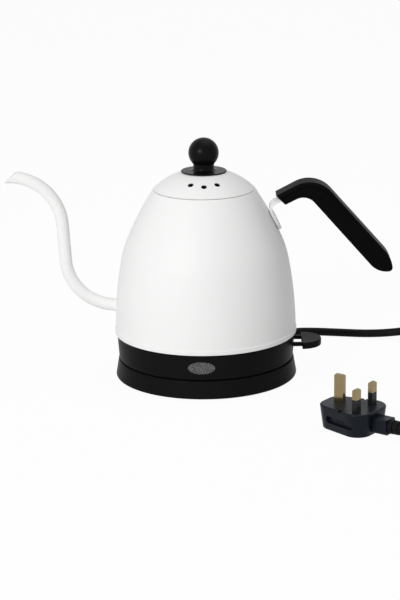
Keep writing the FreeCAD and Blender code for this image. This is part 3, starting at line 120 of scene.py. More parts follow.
def mesh_piece(name: str, points: np.ndarray, quads: np.ndarray, crease: float = CREASE) -> bpy.types.Object:
    """Makes an object from points in millimetres, with its faces pointing outwards.

    Args:
        name: name of the object.
        points: vertex places in millimetres.
        quads: vertex numbers of the faces.
        crease: angle in degrees above which an edge is drawn sharp.

    Returns:
        The new object, at the origin.
    """
    if signed_volume(points, quads) < 0:
        quads = quads[:, ::-1]
    mesh = bpy.data.meshes.new(name)
    mesh.vertices.add(len(points))
    mesh.vertices.foreach_set("co", (points * MM).astype(np.float32).ravel())
    mesh.loops.add(quads.size)
    mesh.loops.foreach_set("vertex_index", quads.astype(np.int32).ravel())
    mesh.polygons.add(len(quads))
    mesh.polygons.foreach_set("loop_start", np.arange(0, quads.size, 4, dtype=np.int32))
    mesh.update(calc_edges=True)
    weld = bmesh.new()
    weld.from_mesh(mesh)
    bmesh.ops.remove_doubles(weld, verts=weld.verts, dist=1e-7)
    bmesh.ops.dissolve_degenerate(weld, edges=weld.edges, dist=1e-8)
    bmesh.ops.delete(weld, geom=[edge for edge in weld.edges if edge.is_wire], context="EDGES")
    weld.to_mesh(mesh)
    weld.free()
    mesh.shade_smooth()
    mesh.set_sharp_from_angle(angle=math.radians(crease))
    piece = bpy.data.objects.new(name, mesh)
    bpy.context.scene.collection.objects.link(piece)
    return piece


def rounded(corners: list[tuple[float, ...]], steps: int = 6) -> np.ndarray:
    """Open line through (r, z) or (r, z, radius) corners, with an arc at each corner that has a radius.

    An arc of radius q at a corner of half angle h starts q / tan(h) from the corner; its points are
    centre + q (cos a, sin a) for angles a between the two tangent points.

    Args:
        corners: corners in order.
        steps: points on each arc.

    Returns:
        Array of (r, z) points.
    """
    runs = []
    for i, corner in enumerate(corners):
        here = np.array(corner[:2])
        radius = corner[2] if len(corner) > 2 else 0.0
        if not radius or i in (0, len(corners) - 1):
            runs.append(here[None])
            continue
        back = np.array(corners[i - 1][:2]) - here
        ahead = np.array(corners[i + 1][:2]) - here
        back /= np.linalg.norm(back)
        ahead /= np.linalg.norm(ahead)
        half = math.acos(float(np.clip(back @ ahead, -1, 1))) / 2
        middle = back + ahead
        centre = here + middle / np.linalg.norm(middle) * radius / math.sin(half)
        first = here + back * radius / math.tan(half) - centre
        last = here + ahead * radius / math.tan(half) - centre
        start = math.atan2(first[1], first[0])
        sweep = (math.atan2(last[1], last[0]) - start + math.pi) % (2 * math.pi) - math.pi
        angles = start + sweep * np.linspace(0, 1, steps)
        runs.append(centre + radius * np.stack([np.cos(angles), np.sin(angles)], axis=-1))
    return np.concatenate(runs)


def lathe(name: str, profile: np.ndarray, segments: int = 160, closed: bool = True) -> bpy.types.Object:
    """Turns a profile about Z: the point (r, z) at angle a is (r cos a, r sin a, z).

    Args:
        name: name of the object.
        profile: array of (r, z) points in millimetres.
        segments: steps round the axis.
        closed: whether the profile's last point joins its first.

    Returns:
        The new object.
    """
    angles = np.linspace(0, 2 * np.pi, segments, endpoint=False)
    r = profile[:, :1]
    z = np.broadcast_to(profile[:, 1:], (len(r), segments))
    points = np.stack([r * np.cos(angles), r * np.sin(angles), z], axis=-1)
    return mesh_piece(name, points.reshape(-1, 3), grid_quads(len(profile), segments, closed))


# Finishes


class Shader:
    """A material's node tree with short ways to add nodes and links."""

    def __init__(self, name: str) -> None:
        """Starts a material with one Principled shader.

        Args:
            name: name of the material.
        """
        self.material = bpy.data.materials.new(name)
        self.material.use_nodes = True
        self.tree = self.material.node_tree
        self.surface = self.tree.nodes["Principled BSDF"]
        self.object_coords = self.tree.nodes.new("ShaderNodeTexCoord").outputs["Object"]

    def node(self, kind: str, **sockets: object) -> bpy.types.Node:
        """Adds a node and sets or links the inputs named by their words joined with underscores.

        Args:
            kind: Blender's name of the node type.
            sockets: values, or outputs of other nodes, by input name.

        Returns:
            The new node.
        """
        made = self.tree.nodes.new(kind)
        for name, value in sockets.items():
            self.feed(made.inputs[name.replace("_", " ")], value)
        return made

    def feed(self, socket: Output, value: object) -> None:
        """Links an output to a socket, or sets the socket to a plain value.

        Args:
            socket: the input to feed.
            value: an output of another node, or a value.
        """
        if isinstance(value, Output):
            self.tree.links.new(value, socket)
        else:
            socket.default_value = value

    def noise(self, scale: float, detail: float = 2.0, stretch: Triple = (1, 1, 1)) -> Output:
        """Noise over the piece's own coordinates, as a value from 0 to 1."""
        place = self.node("ShaderNodeMapping", Vector=self.object_coords, Scale=stretch)
        return self.node("ShaderNodeTexNoise", Vector=place.outputs[0], Scale=scale, Detail=detail).outputs[0]

    def spread(self, value: Output, low: float, high: float) -> Output:
        """Maps the middle of a noise onto a range.

        Args:
            value: the noise.
            low: result where the noise is at the low end of its middle, or under it.
            high: result where it is at the high end, or over it.

        Returns:
            The mapped value.
        """
        ends = {"From_Min": NOISE_LOW, "From_Max": NOISE_HIGH, "To_Min": low, "To_Max": high}
        return self.node("ShaderNodeMapRange", Value=value, **ends).outputs[0]

    def blend(self, share: Output, first: tuple[float, ...], second: tuple[float, ...]) -> Output:
        """Colour between two colours.

        Args:
            share: how much of the second colour there is, from 0 to 1.
            first: one colour.
            second: the other colour.

        Returns:
            The mixed colour.
        """
        mix = self.tree.nodes.new("ShaderNodeMix")
        mix.data_type = "RGBA"
        self.feed(mix.inputs["Factor"], share)
        mix.inputs[6].default_value = (*first, 1)
        mix.inputs[7].default_value = (*second, 1)
        return mix.outputs[2]

    def times(self, first: Output, second: Output) -> Output:
        """Product of two values.

        Args:
            first: one value.
            second: the other value.

        Returns:
            The product.
        """
        product = self.tree.nodes.new("ShaderNodeMath")
        product.operation = "MULTIPLY"
        self.feed(product.inputs[0], first)
        self.feed(product.inputs[1], second)
        return product.outputs[0]

    def bump(self, height: Output, depth: float) -> None:
        """Bumps the surface by a height pattern, its depth given in metres."""
        made = self.node("ShaderNodeBump", Height=height, Strength=BUMP_STRENGTH, Distance=depth)
        self.feed(self.surface.inputs["Normal"], made.outputs[0])


@dataclass(frozen=True)
class Finish:
    """A finish of one even colour that varies a little, with a fine surface grain."""

    name: str
    colour: Triple
    shade: Triple
    roughness: tuple[float, float]
    metallic: float = 0.0
    specular: float = 0.5
    coat: float = 0.0
    coat_roughness: float = 0.1
    mottle_scale: float = 45.0
    grain_scale: float = 1800.0
    grain_depth: float = 0.00003
    grain_stretch: Triple = (1, 1, 1)

    def material(self) -> bpy.types.Material:
        """Builds the node material: broad mottle in colour and gloss, fine grain in the bump.

        Returns:
            The material.
        """
        shader = Shader(self.name)
        mottle = shader.noise(self.mottle_scale, detail=3.0)
        shader.feed(shader.surface.inputs["Base Color"], shader.blend(mottle, self.colour, self.shade))
        shader.feed(shader.surface.inputs["Roughness"], shader.spread(mottle, *self.roughness))
        shader.surface.inputs["Metallic"].default_value = self.metallic
        shader.surface.inputs["Specular IOR Level"].default_value = self.specular
        shader.surface.inputs["Coat Weight"].default_value = self.coat
        shader.surface.inputs["Coat Roughness"].default_value = self.coat_roughness
        grain = shader.noise(self.grain_scale, stretch=self.grain_stretch)
        shader.bump(grain, self.grain_depth)
        return shader.material


@dataclass(frozen=True)
class LensFinish:
    """Grey textured window: two crossing sets of fine ridges, with a painted highlight on the ridges and
    painted shade in the grooves, unevenly bright.
    """

    name: str = "lens_ribbed"
    # ridge colour is a painted highlight, groove colour is painted shade
    ridge_highlight: Triple = (0.23, 0.23, 0.23)
    groove_shade: Triple = (0.028, 0.028, 0.029)
    ridge_scale: float = 260.0
    ridge_waver: float = 0.6
    ridge_depth: float = 0.0002
    lean: float = 12.0
    patch_scale: float = 420.0
    patch_range: tuple[float, float] = (0.35, 1.6)
    roughness: float = 0.25
    specular: float = 0.4

    def ridges(self, shader: Shader, lean: float) -> Output:
        """One set of straight ridges.

        Args:
            shader: the lens's shader.
            lean: the ridges' turn in degrees, 0 where they stand upright.

        Returns:
            The ridges' height, from 0 to 1.
        """
        turn = (0, math.radians(lean), 0)
        place = shader.node("ShaderNodeMapping", Vector=shader.object_coords, Rotation=turn).outputs[0]
        wave = shader.node("ShaderNodeTexWave", Vector=place, Scale=self.ridge_scale)
        wave.inputs["Distortion"].default_value = self.ridge_waver
        return wave.outputs["Fac"]

    def material(self) -> bpy.types.Material:
        """Builds the crossed-ridge material: the product of both sets, scaled by a patchy noise, sets the
        colour from the grooves' painted shade to the ridges' painted highlight.

        Returns:
            The material.
        """
        shader = Shader(self.name)
        cross = shader.times(self.ridges(shader, self.lean), self.ridges(shader, self.lean + 90))
        uneven = shader.times(cross, shader.spread(shader.noise(self.patch_scale), *self.patch_range))
        # colour runs from painted shade in the grooves to a painted highlight on the ridges
        shader.feed(shader.surface.inputs["Base Color"], shader.blend(uneven, self.groove_shade, self.ridge_highlight))
        shader.surface.inputs["Roughness"].default_value = self.roughness
        shader.surface.inputs["Specular IOR Level"].default_value = self.specular
        shader.bump(cross, self.ridge_depth)
        return shader.material


ENAMEL = Finish(
    "white_enamel_satin",
    (0.855, 0.855, 0.85),
    (0.87, 0.87, 0.865),
    (0.42, 0.5),
    specular=0.16,
    mottle_scale=30,
    grain_scale=700,
    grain_depth=0.000004,
)
CASE_BLACK = Finish(
    "case_black_satin",
    (0.0062, 0.0062, 0.0065),
    (0.0082, 0.0082, 0.0086),
    (0.34, 0.4),
    specular=0.022,
    grain_scale=2600,
)
PLATE_BLACK = Finish("plate_black", (0.01, 0.01, 0.0105), (0.013, 0.013, 0.014), (0.5, 0.6), specular=0.2)
HANDLE_BLACK = Finish(
    "handle_soft_touch",
    (0.003, 0.003, 0.0033),
    (0.004, 0.004, 0.0044),
    (0.36, 0.44),
    specular=0.014,
    grain_scale=3000,
    grain_depth=0.00002,
)
KNOB_BLACK = Finish(
    "knob_black_satin",
    (0.003, 0.003, 0.0033),
    (0.004, 0.004, 0.0043),
    (0.27, 0.33),
    specular=0.065,
    grain_scale=2500,
)
RUBBER = Finish(
    "lead_black_rubber",
    (0.005, 0.005, 0.0056),
    (0.0075, 0.0075, 0.008),
    (0.42, 0.52),
    specular=0.06,
    grain_scale=1500,
)
STEEL = Finish(
    "brushed_steel",
    (0.66, 0.66, 0.66),
    (0.74, 0.74, 0.735),
    (0.24, 0.36),
    metallic=1.0,
    grain_stretch=(1, 1, 0.04),
)
ALUMINIUM = Finish("plain_aluminium", (0.7, 0.7, 0.71), (0.78, 0.78, 0.79), (0.35, 0.45), metallic=1.0)
BRASS = Finish("contact_brass", (0.75, 0.56, 0.27), (0.8, 0.62, 0.33), (0.22, 0.34), metallic=1.0)
PIN_METAL = Finish(
    "pin_nickel_brass",
    (0.24, 0.18, 0.09),
    (0.32, 0.25, 0.14),
    (0.16, 0.22),
    metallic=1.0,
    mottle_scale=60,
    grain_depth=0.000002,
    grain_stretch=(1, 1, 0.05),
)
PLUG_BLACK = Finish(
    "plug_blue_black",
    (0.0038, 0.0055, 0.0095),
    (0.0055, 0.008, 0.0135),
    (0.32, 0.42),
    specular=0.12,
    grain_scale=1600,
    grain_depth=0.00004,
)
SLEEVE_BLACK = Finish(
    "pin_sleeve_black", (0.006, 0.006, 0.0065), (0.009, 0.009, 0.01), (0.4, 0.5), specular=0.25
)
FUSE_WHITE = Finish("fuse_ceramic", (0.75, 0.72, 0.66), (0.8, 0.78, 0.73), (0.2, 0.3), coat=0.4)
LENS = LensFinish()
LAMP_AMBER = Finish("lamp_amber", (0.6, 0.4, 0.16), (0.66, 0.46, 0.2), (0.1, 0.2), coat=0.5)

NODE_FINISHES: dict[str, tuple[str, ...]] = {
    ENAMEL.name: ("handle_strap", "lid_shell"),
    CASE_BLACK.name: (
        "base_skirt", "base_cover", "switch_lever", "base_connector", "connector_socket", "control_unit",
        "steam_switch",
    ),
    PLATE_BLACK.name: ("base_plate",),
    HANDLE_BLACK.name: ("handle_lower_grip", "handle_top_cover"),
    RUBBER.name: ("base_feet", "cord_gland", "cord_tie", "plug_strain_relief"),
    STEEL.name: (
        "vessel_floor", "lid_liner", "knob_washer", "knob_screw", "handle_screws", "skirt_screws",
        "base_screws", "steam_tube", "heating_element", "bimetal_disc",
    ),
    ALUMINIUM.name: ("heat_spreader",),
    BRASS.name: ("connector_contacts",),
    PIN_METAL.name: ("plug_pins",),
    LENS.name: ("indicator_lens",),
    LAMP_AMBER.name: ("indicator_lamp",),
    PLUG_BLACK.name: ("plug_body", "fuse_carrier"),
    SLEEVE_BLACK.name: ("pin_sleeves",),
    FUSE_WHITE.name: ("fuse",),
}


class Finishes:
    """All the materials, each made once."""

    def __init__(self) -> None:
        """Makes each finish's material."""
        finishes = [ENAMEL, CASE_BLACK, PLATE_BLACK, HANDLE_BLACK, KNOB_BLACK, RUBBER, STEEL, ALUMINIUM]
        finishes += [BRASS, PIN_METAL, PLUG_BLACK, SLEEVE_BLACK, FUSE_WHITE, LAMP_AMBER, LENS]
        self.materials = {finish.name: finish.material() for finish in finishes}

    def dress(self, piece: bpy.types.Object, finish: str) -> None:
        """Gives a piece one finish all over.

        Args:
            piece: the piece.
            finish: the finish's name.
        """
        if not piece.material_slots:
            piece.data.materials.append(self.materials[finish])
        for place in piece.material_slots:
            place.material = self.materials[finish]

    def dress_nodes(self, nodes: dict[str, bpy.types.Object]) -> None:
        """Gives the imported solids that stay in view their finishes.

        Args:
            nodes: the solids by name.
        """
        for finish, names in NODE_FINISHES.items():
            for name in names:
                self.dress(nodes[name], finish)
                LOG.info("%s takes %s", name, finish)


# Kettle


@dataclass
class Vessel:
    """White pressed shell: rim band, wall of three tangent arcs, shoulder ledge and mouth."""

    rim_r: float = 75.0
    rim_z: float = 37.4
    rim_band: float = 3.4
    rim_step: float = 0.7
    body_r: float = 74.44
    start_z: float = 37.9
    radii: Triple = (322.4, 84.2, 251.7)
    turns: tuple[float, float] = (10.8, 11.7)
    sheet: float = 0.7
    seam_z: float = 156.6
    neck_r: float = 37.5
    neck_depth: float = 3.2
    edge_round: float = 0.3
    band_round: float = 0.5
    step_out: float = 0.02
    seam_round: float = 0.35
    mouth_round: float = 0.5

    def arcs(self) -> list[tuple[np.ndarray, float, float]]:
        """Centre, radius and starting angle of each of the wall's arcs.

        Each centre lies on the line through the last centre and the point where the two arcs touch.

        Returns:
            One (centre, radius, angle) for each arc.
        """
        centre = np.array([self.body_r - self.radii[0], self.start_z])
        angle = 0.0
        found = [(centre, self.radii[0], angle)]
        for i, turn in enumerate(self.turns):
            angle += math.radians(turn)
            along = np.array([math.cos(angle), math.sin(angle)])
            centre = centre + along * (self.radii[i] - self.radii[i + 1])
            found.append((centre, self.radii[i + 1], angle))
        return found

    def wall(self, inset: float, count: int = 26) -> np.ndarray:
        """Wall outline from the rim band up to the seam, moved inwards by an inset.

        Args:
            inset: distance from the outside.
            count: points on each arc.

        Returns:
            Array of (r, z) points.
        """
        arcs = self.arcs()
        low_z = self.rim_z + self.rim_band + self.rim_step
        first = math.asin((low_z - arcs[0][0][1]) / arcs[0][1])
        last = math.asin((self.seam_z - arcs[2][0][1]) / arcs[2][1])
        stops = [first, arcs[1][2], arcs[2][2], last]
        rows = []
        for (centre, radius, _), start, end in zip(arcs, stops, stops[1:]):
            angles = np.linspace(start, end, count)
            rows.append(centre + (radius - inset) * np.stack([np.cos(angles), np.sin(angles)], axis=-1))
        return np.concatenate([rows[0], rows[1][1:], rows[2][1:]])

    def radius_at(self, z: np.ndarray) -> np.ndarray:
        """Outside radius of the wall at heights."""
        outline = self.wall(0, 60)
        return np.interp(z, outline[:, 1], outline[:, 0])

    def build(self) -> bpy.types.Object:
        """Turns the shell's whole section, outside up and inside down.

        Returns:
            The shell.
        """
        outer = self.wall(0)
        inner = self.wall(self.sheet)[::-1]
        band_top = self.rim_z + self.rim_band
        rim_in = self.rim_r - self.sheet
        low_edge = (self.rim_r, self.rim_z, self.edge_round)
        high_edge = (self.rim_r, band_top, self.band_round)
        step = (outer[0][0] + self.step_out, outer[0][1], self.edge_round)
        rim = rounded([(rim_in, self.rim_z), low_edge, high_edge, step, tuple(outer[1])])
        neck_low = self.seam_z - self.neck_depth
        neck_out = self.neck_r + self.sheet
        seam = (*outer[-1], self.seam_round)
        ledge = (self.neck_r, self.seam_z, self.mouth_round)
        mouth = rounded([tuple(outer[-2]), seam, ledge, (self.neck_r, neck_low)])
        under = np.array([(neck_out, neck_low), (neck_out, self.seam_z - self.sheet)])
        section = np.concatenate([rim[:-1], outer[1:-2], mouth, under, inner, [(rim_in, band_top)]])
        return lathe("vessel_shell", section, 200)


@dataclass
class Spout:
    """Gooseneck tube: straight root, low bend, rise, high bend and slanted lip, welded on with a fillet."""

    outer_r: float = 5.15
    wall: float = 0.8
    start: tuple[float, float] = (-66.0, 57.9)
    low_corner: tuple[float, float] = (-112.4, 66.3)
    low_bend: float = 40.5
    high_corner: tuple[float, float] = (-118.3, 168.5)
    high_bend: float = 42.8
    end_x: float = -166.0
    lip_x: float = -162.4
    lip_angle: float = 42.0
    lip_round: float = 0.25
    fillet: float = 1.3
    weld_sink: float = 0.15
    bore_reach: float = 13.0
    root_range: tuple[float, float] = (0.0, 30.0)
    lip_range: tuple[float, float] = (150.0, 320.0)
    sides: int = 40
    rings: int = 150
    fillet_rings: int = 6

    def path(self, along: np.ndarray) -> tuple[np.ndarray, np.ndarray]:
        """Centre line by length: lines, and arcs whose heading turns evenly with length.

        Args:
            along: lengths from the start.

        Returns:
            Points (x, z), and headings in radians.
        """
        corners = [np.array(p) for p in (self.start, self.low_corner, self.high_corner)]
        corners.append(np.array((self.end_x, self.high_corner[1])))
        ways = [b - a for a, b in zip(corners, corners[1:])]
        heads = [math.atan2(w[1], w[0]) for w in ways]
        lengths = [float(np.linalg.norm(w)) for w in ways]
        turns = [(b - a + math.pi) % (2 * math.pi) - math.pi for a, b in zip(heads, heads[1:])]
        reach = [self.low_bend * math.tan(abs(turns[0]) / 2), self.high_bend * math.tan(abs(turns[1]) / 2)]
        runs = [
            (lengths[0] - reach[0], 0.0),
            (self.low_bend * abs(turns[0]), math.copysign(1 / self.low_bend, turns[0])),
            (lengths[1] - reach[0] - reach[1], 0.0),
            (self.high_bend * abs(turns[1]), math.copysign(1 / self.high_bend, turns[1])),
            (lengths[2] - reach[1], 0.0),
        ]
        place = corners[0]
        head = heads[0]
        begin = 0.0
        point = np.zeros((*along.shape, 2))
        heading = np.zeros(along.shape)
        for length, curve in runs:
            here = along - begin
            inside = here >= 0
            point = np.where(inside[..., None], place + self.travel(head, curve, here), point)
            heading = np.where(inside, head + curve * here, heading)
            place = place + self.travel(head, curve, np.array(length))
            head += curve * length
            begin += length
        return point, heading

    @staticmethod
    def travel(head: float, curve: float, length: np.ndarray) -> np.ndarray:
        """Way made from a heading: straight, or on an arc whose heading turns by curve * length.

        Args:
            head: heading at the start, in radians.
            curve: turn for each millimetre, 0 where the way is straight.
            length: lengths along the way.

        Returns:
            The (x, z) offset at each length.
        """
        if not curve:
            return length[..., None] * np.array([math.cos(head), math.sin(head)])
        turned = head + curve * length
        return np.stack([np.sin(turned) - math.sin(head), math.cos(head) - np.cos(turned)], axis=-1) / curve

    def surface(self, along: np.ndarray, angle: np.ndarray, radius: np.ndarray) -> np.ndarray:
        """Points of a tube: centre + radius (cos angle * side + sin angle * Y), side square to the path.

        Args:
            along: lengths along the path.
            angle: angles round it.
            radius: distances from it.

        Returns:
            Array of (x, y, z) points.
        """
        centre, heading = self.path(along)
        side = radius * np.cos(angle)
        x = centre[..., 0] - np.sin(heading) * side
        z = centre[..., 1] + np.cos(heading) * side
        return np.stack([x, radius * np.sin(angle), z], axis=-1)

    def meet(self, span: tuple[float, float], angle: np.ndarray, radius: float, beyond: Field) -> np.ndarray:
        """Length at which each line along the tube crosses a surface, by halving the range.

        Args:
            span: lengths before and after the crossing.
            angle: angles of the lines round the tube.
            radius: tube radius.
            beyond: function that is positive past the crossing.

        Returns:
            The lengths.
        """
        before = np.full(angle.shape, span[0])
        after = np.full(angle.shape, span[1])
        for _ in range(HALVINGS):
            middle = (before + after) / 2
            past = beyond(self.surface(middle, angle, np.full(angle.shape, radius))) > 0
            after = np.where(past, middle, after)
            before = np.where(past, before, middle)
        return (before + after) / 2

    def build(self, vessel: Vessel) -> bpy.types.Object:
        """Lays the tube's outside from the wall to the lip, rolls over the lip and comes back inside.

        Args:
            vessel: the shell that the root is welded to.

        Returns:
            The spout.
        """
        angle = np.linspace(0, 2 * np.pi, self.sides, endpoint=False)
        slope = math.tan(math.radians(self.lip_angle))
        low_z = self.high_corner[1] - self.outer_r

        def outside(p: np.ndarray) -> np.ndarray:
            """Distance past the vessel's wall."""
            return np.hypot(p[..., 0], p[..., 1]) - vessel.radius_at(p[..., 2]) + self.weld_sink

        def past_lip(p: np.ndarray) -> np.ndarray:
            """Height over the lip's slanted plane."""
            return (p[..., 2] - low_z) - (p[..., 0] - self.lip_x) * slope

        inner_r = self.outer_r - self.wall
        lip_r = self.outer_r - self.wall / 2
        quarter = np.linspace(0, np.pi / 2, self.fillet_rings)
        flare = self.fillet * (1 - np.sin(quarter))
        rise = self.fillet * (1 - np.cos(quarter)) + self.weld_sink
        foot = [self.meet(self.root_range, angle, self.outer_r + f, outside) for f in flare]
        root = [length + h for length, h in zip(foot, rise)]
        outer_end = self.meet(self.lip_range, angle, self.outer_r, past_lip)
        inner_end = self.meet(self.lip_range, angle, inner_r, past_lip)
        inner_start = self.meet(self.root_range, angle, inner_r, outside)
        share = np.linspace(0, 1, self.rings)[1:, None]
        level = np.ones(angle.shape)
        rows = [self.surface(length, angle, level * (self.outer_r + f)) for length, f in zip(root, flare)]
        body = root[-1] + (outer_end - self.lip_round - root[-1]) * share
        tube = self.surface(body, np.broadcast_to(angle, body.shape), np.full(body.shape, self.outer_r))
        lip = self.surface((outer_end + inner_end) / 2, angle, level * lip_r)
        turn_in = inner_end - self.lip_round
        back = turn_in + (inner_start - turn_in) * np.concatenate([[[0.0]], share])
        bore = self.surface(back, np.broadcast_to(angle, back.shape), np.full(back.shape, inner_r))
        points = np.concatenate([np.stack(rows), tube, lip[None], bore])
        quads = grid_quads(len(points), len(angle), True)
        return mesh_piece("spout_gooseneck", points.reshape(-1, 3), quads, crease=60)


    def pierce(self, shell: bpy.types.Object) -> None:
        """Cuts the tube's bore through the vessel's wall, as a capped rod along the start of the path.

        Args:
            shell: the vessel's shell.
        """
        bore_r = self.outer_r - self.wall
        angle = np.linspace(0, 2 * np.pi, self.sides, endpoint=False)
        level = np.ones((4, self.sides))
        along = level * np.array([[0], [0], [self.bore_reach], [self.bore_reach]])
        radius = level * np.array([[0], [bore_r], [bore_r], [0]])
        points = self.surface(along, level * angle, radius)
        rod = mesh_piece("spout_bore", points.reshape(-1, 3), grid_quads(*along.shape))
        cut = shell.modifiers.new("bore", "BOOLEAN")
        cut.operation = "DIFFERENCE"
        cut.object = rod
        seen = shell.evaluated_get(bpy.context.evaluated_depsgraph_get())
        pierced = bpy.data.meshes.new_from_object(seen)
        pierced.set_sharp_from_angle(angle=math.radians(CREASE))
        shell.modifiers.clear()
        shell.data = pierced
        bpy.data.objects.remove(rod)


@dataclass
class Knob:
    """Ball on a waisted neck over a thin flared flange."""

    foot_z: float = 170.6
    flange_r: float = 18.6
    flange_edge: float = 0.9
    neck_r: float = 8.5
    neck_rise: float = 4.6
    ball_r: float = 12.35
    ball_rise: float = 15.4
    hole_r: float = 2.15
    hole_depth: float = 13.0
    foot_bevel: tuple[float, float] = (0.2, 0.3)
    flare_bevel: tuple[float, float] = (0.3, 0.25)
    ease: float = 2.9

    def build(self) -> bpy.types.Object:
        """Turns flange, flare, neck and ball in one smooth section.

        The flare eases from the flange's edge to the neck: its radius falls by (1 - t)^ease and its height
        rises by t^ease.

        Returns:
            The knob.
        """
        t = np.linspace(0, 1, 24)
        ball_z = self.foot_z + self.ball_rise
        join = math.asin(self.neck_r / self.ball_r)
        join_z = ball_z - self.ball_r * math.cos(join)
        neck_z = self.foot_z + self.neck_rise
        edge_z = self.foot_z + self.flange_edge
        flare_r = self.neck_r + (self.flange_r - self.flare_bevel[0] - self.neck_r) * (1 - t) ** self.ease
        flare = np.stack([flare_r, edge_z + (neck_z - edge_z) * t**self.ease], axis=-1)
        bevel_r, bevel_z = self.foot_bevel
        rim_top = edge_z - self.flare_bevel[1]
        edge = np.array([(self.hole_r, self.foot_z), (self.flange_r - bevel_r, self.foot_z)])
        rim = np.array([(self.flange_r, self.foot_z + bevel_z), (self.flange_r, rim_top)])
        angles = np.linspace(-np.pi / 2 + join, np.pi / 2, 40)
        ball = np.stack([self.ball_r * np.cos(angles), ball_z + self.ball_r * np.sin(angles)], axis=-1)
        ball[-1, 0] = 0.0
        hole_z = self.foot_z + self.hole_depth
        hole = np.array([(0.0, hole_z), (self.hole_r, hole_z)])
        neck = np.array([(self.neck_r, (neck_z + join_z) / 2)])
        return lathe("knob_ball", np.concatenate([edge, rim, flare, neck, ball, hole]), 96)


# Lead


@dataclass
class Lead:
    """Mains lead from the base's gland, through its put-away coil, to the plug."""

    radius: float = 3.5
    gland_turn: float = 50.0
    gland_end_r: float = 101.6
    gland_z: float = 7.2
    coil_centre: tuple[float, float] = (212.0, 42.0)
    coil_r: float = 38.5
    coil_z: float = 4.7
    coil_layer: float = 7.6
    coil_end: float = 7.0
    coil_sweep: float = 450.0
    layer_sweep: float = 180.0
    points_per_turn: int = 16
    gland_run: float = 16.0
    coil_run_in: float = 14.0
    coil_run_out: float = 30.0
    tail_run: float = 20.0
    plug_place: tuple[float, float] = (112.0, -146.0)
    plug_heading: float = -37.0
    tail_x: float = 60.0
    tail_z: float = 8.4
    length: float = 0.775

    def coil_points(self) -> list[Triple]:
        """Control points of the coil, from its top layer down to its bottom layer.

        They stand out by 1 / cos(half a step), so that the line through their middles has the coil's radius.
        The height eases from one layer to the other over half a turn.

        Returns:
            The points.
        """
        step = 360 / self.points_per_turn
        reach = self.coil_r / math.cos(math.radians(step / 2))
        found = []
        for i in range(int(self.coil_sweep / step)):
            angle = self.coil_sweep - step * (i + 0.5)
            share = min(max(angle / self.layer_sweep - 1, 0), 1)
            z = self.coil_z + self.coil_layer * share**2 * (3 - 2 * share)
            turned = math.radians(angle)
            x = self.coil_centre[0] + reach * math.cos(turned)
            y = self.coil_centre[1] + reach * math.sin(turned)
            found.append((x, y, z))
        return found

    def gland_mouth(self) -> Triple:
        """Middle of the gland's outer end."""
        turned = math.radians(self.gland_turn)
        return (self.gland_end_r * math.cos(turned), self.gland_end_r * math.sin(turned), self.gland_z)

    def route(self) -> list[Triple]:
        """Control points from the gland, round the coil and on to the plug's tail.

        Returns:
            The points.
        """
        turned = math.radians(self.gland_turn)
        out = (math.cos(turned), math.sin(turned))
        start = self.gland_mouth()
        top_z = self.coil_z + self.coil_layer
        top_y = self.coil_centre[1] + self.coil_r
        right_x = self.coil_centre[0] + self.coil_r
        coil_in_x = self.coil_centre[0] - self.coil_end
        coil_out_y = self.coil_centre[1] - self.coil_end
        head = math.radians(self.plug_heading)
        way = (math.cos(head), math.sin(head))
        tail = (self.plug_place[0] + self.tail_x * way[0], self.plug_place[1] + self.tail_x * way[1])
        to_coil = [
            start,
            (start[0] + self.gland_run * out[0], start[1] + self.gland_run * out[1], start[2]),
            (94, 99, 4.6),
            (117, 98, 3.6),
            (143, 91.5, 4.0),
            (168, 83.5, 7.6),
            (coil_in_x - self.coil_run_in, top_y, top_z),
            (coil_in_x, top_y, top_z),
        ]
        to_plug = [
            (right_x, coil_out_y, self.coil_z),
            (right_x, coil_out_y - self.coil_run_out, self.coil_z),
            (253.4, -53, 3.7),
            (253, -108, 3.6),
            (251.5, -149, 3.6),
            (243.5, -177, 3.6),
            (225, -195.5, 3.7),
            (200, -202.5, 5.4),
            (tail[0] + self.tail_run * way[0], tail[1] + self.tail_run * way[1], self.tail_z),
            (tail[0], tail[1], self.tail_z),
        ]
        return to_coil + self.coil_points() + to_plug

    def build(self) -> bpy.types.Object:
        """Lays the lead as one smooth spline.

        Returns:
            The lead.
        """
        points = np.array(self.route()) * MM
        curve = bpy.data.curves.new("mains_lead", "CURVE")
        curve.dimensions = "3D"
        line = curve.splines.new("NURBS")
        line.points.add(len(points) - 1)
        line.points.foreach_set("co", np.column_stack([points, np.ones(len(points))]).ravel())
        line.order_u = 3
        line.use_endpoint_u = True
        line.resolution_u = 8
        curve.bevel_depth = self.radius * MM
        curve.bevel_resolution = 6
        curve.use_fill_caps = True
        lead = bpy.data.objects.new("mains_lead", curve)
        bpy.context.scene.collection.objects.link(lead)
        return lead


# Studio


@dataclass
class SoftBox:
    """A large soft lamp that looks at a point of the kettle."""

    name: str
    place: Triple
    aim: Triple
    size: tuple[float, float]
    power: float

    def build(self) -> bpy.types.Object:
        """Makes the lamp and turns it to its aim.

        Returns:
            The lamp.
        """
        data = bpy.data.lights.new(self.name, "AREA")
        data.shape = "RECTANGLE"
        data.size, data.size_y = self.size
        data.energy = self.power
        lamp = bpy.data.objects.new(self.name, data)
        lamp.location = self.place
        way = np.array(self.aim) - np.array(self.place)
        flat = math.hypot(way[0], way[1])
        lamp.rotation_euler = (math.atan2(flat, -way[2]), 0, math.atan2(way[1], way[0]) - math.pi / 2)
        bpy.context.scene.collection.objects.link(lamp)
        return lamp


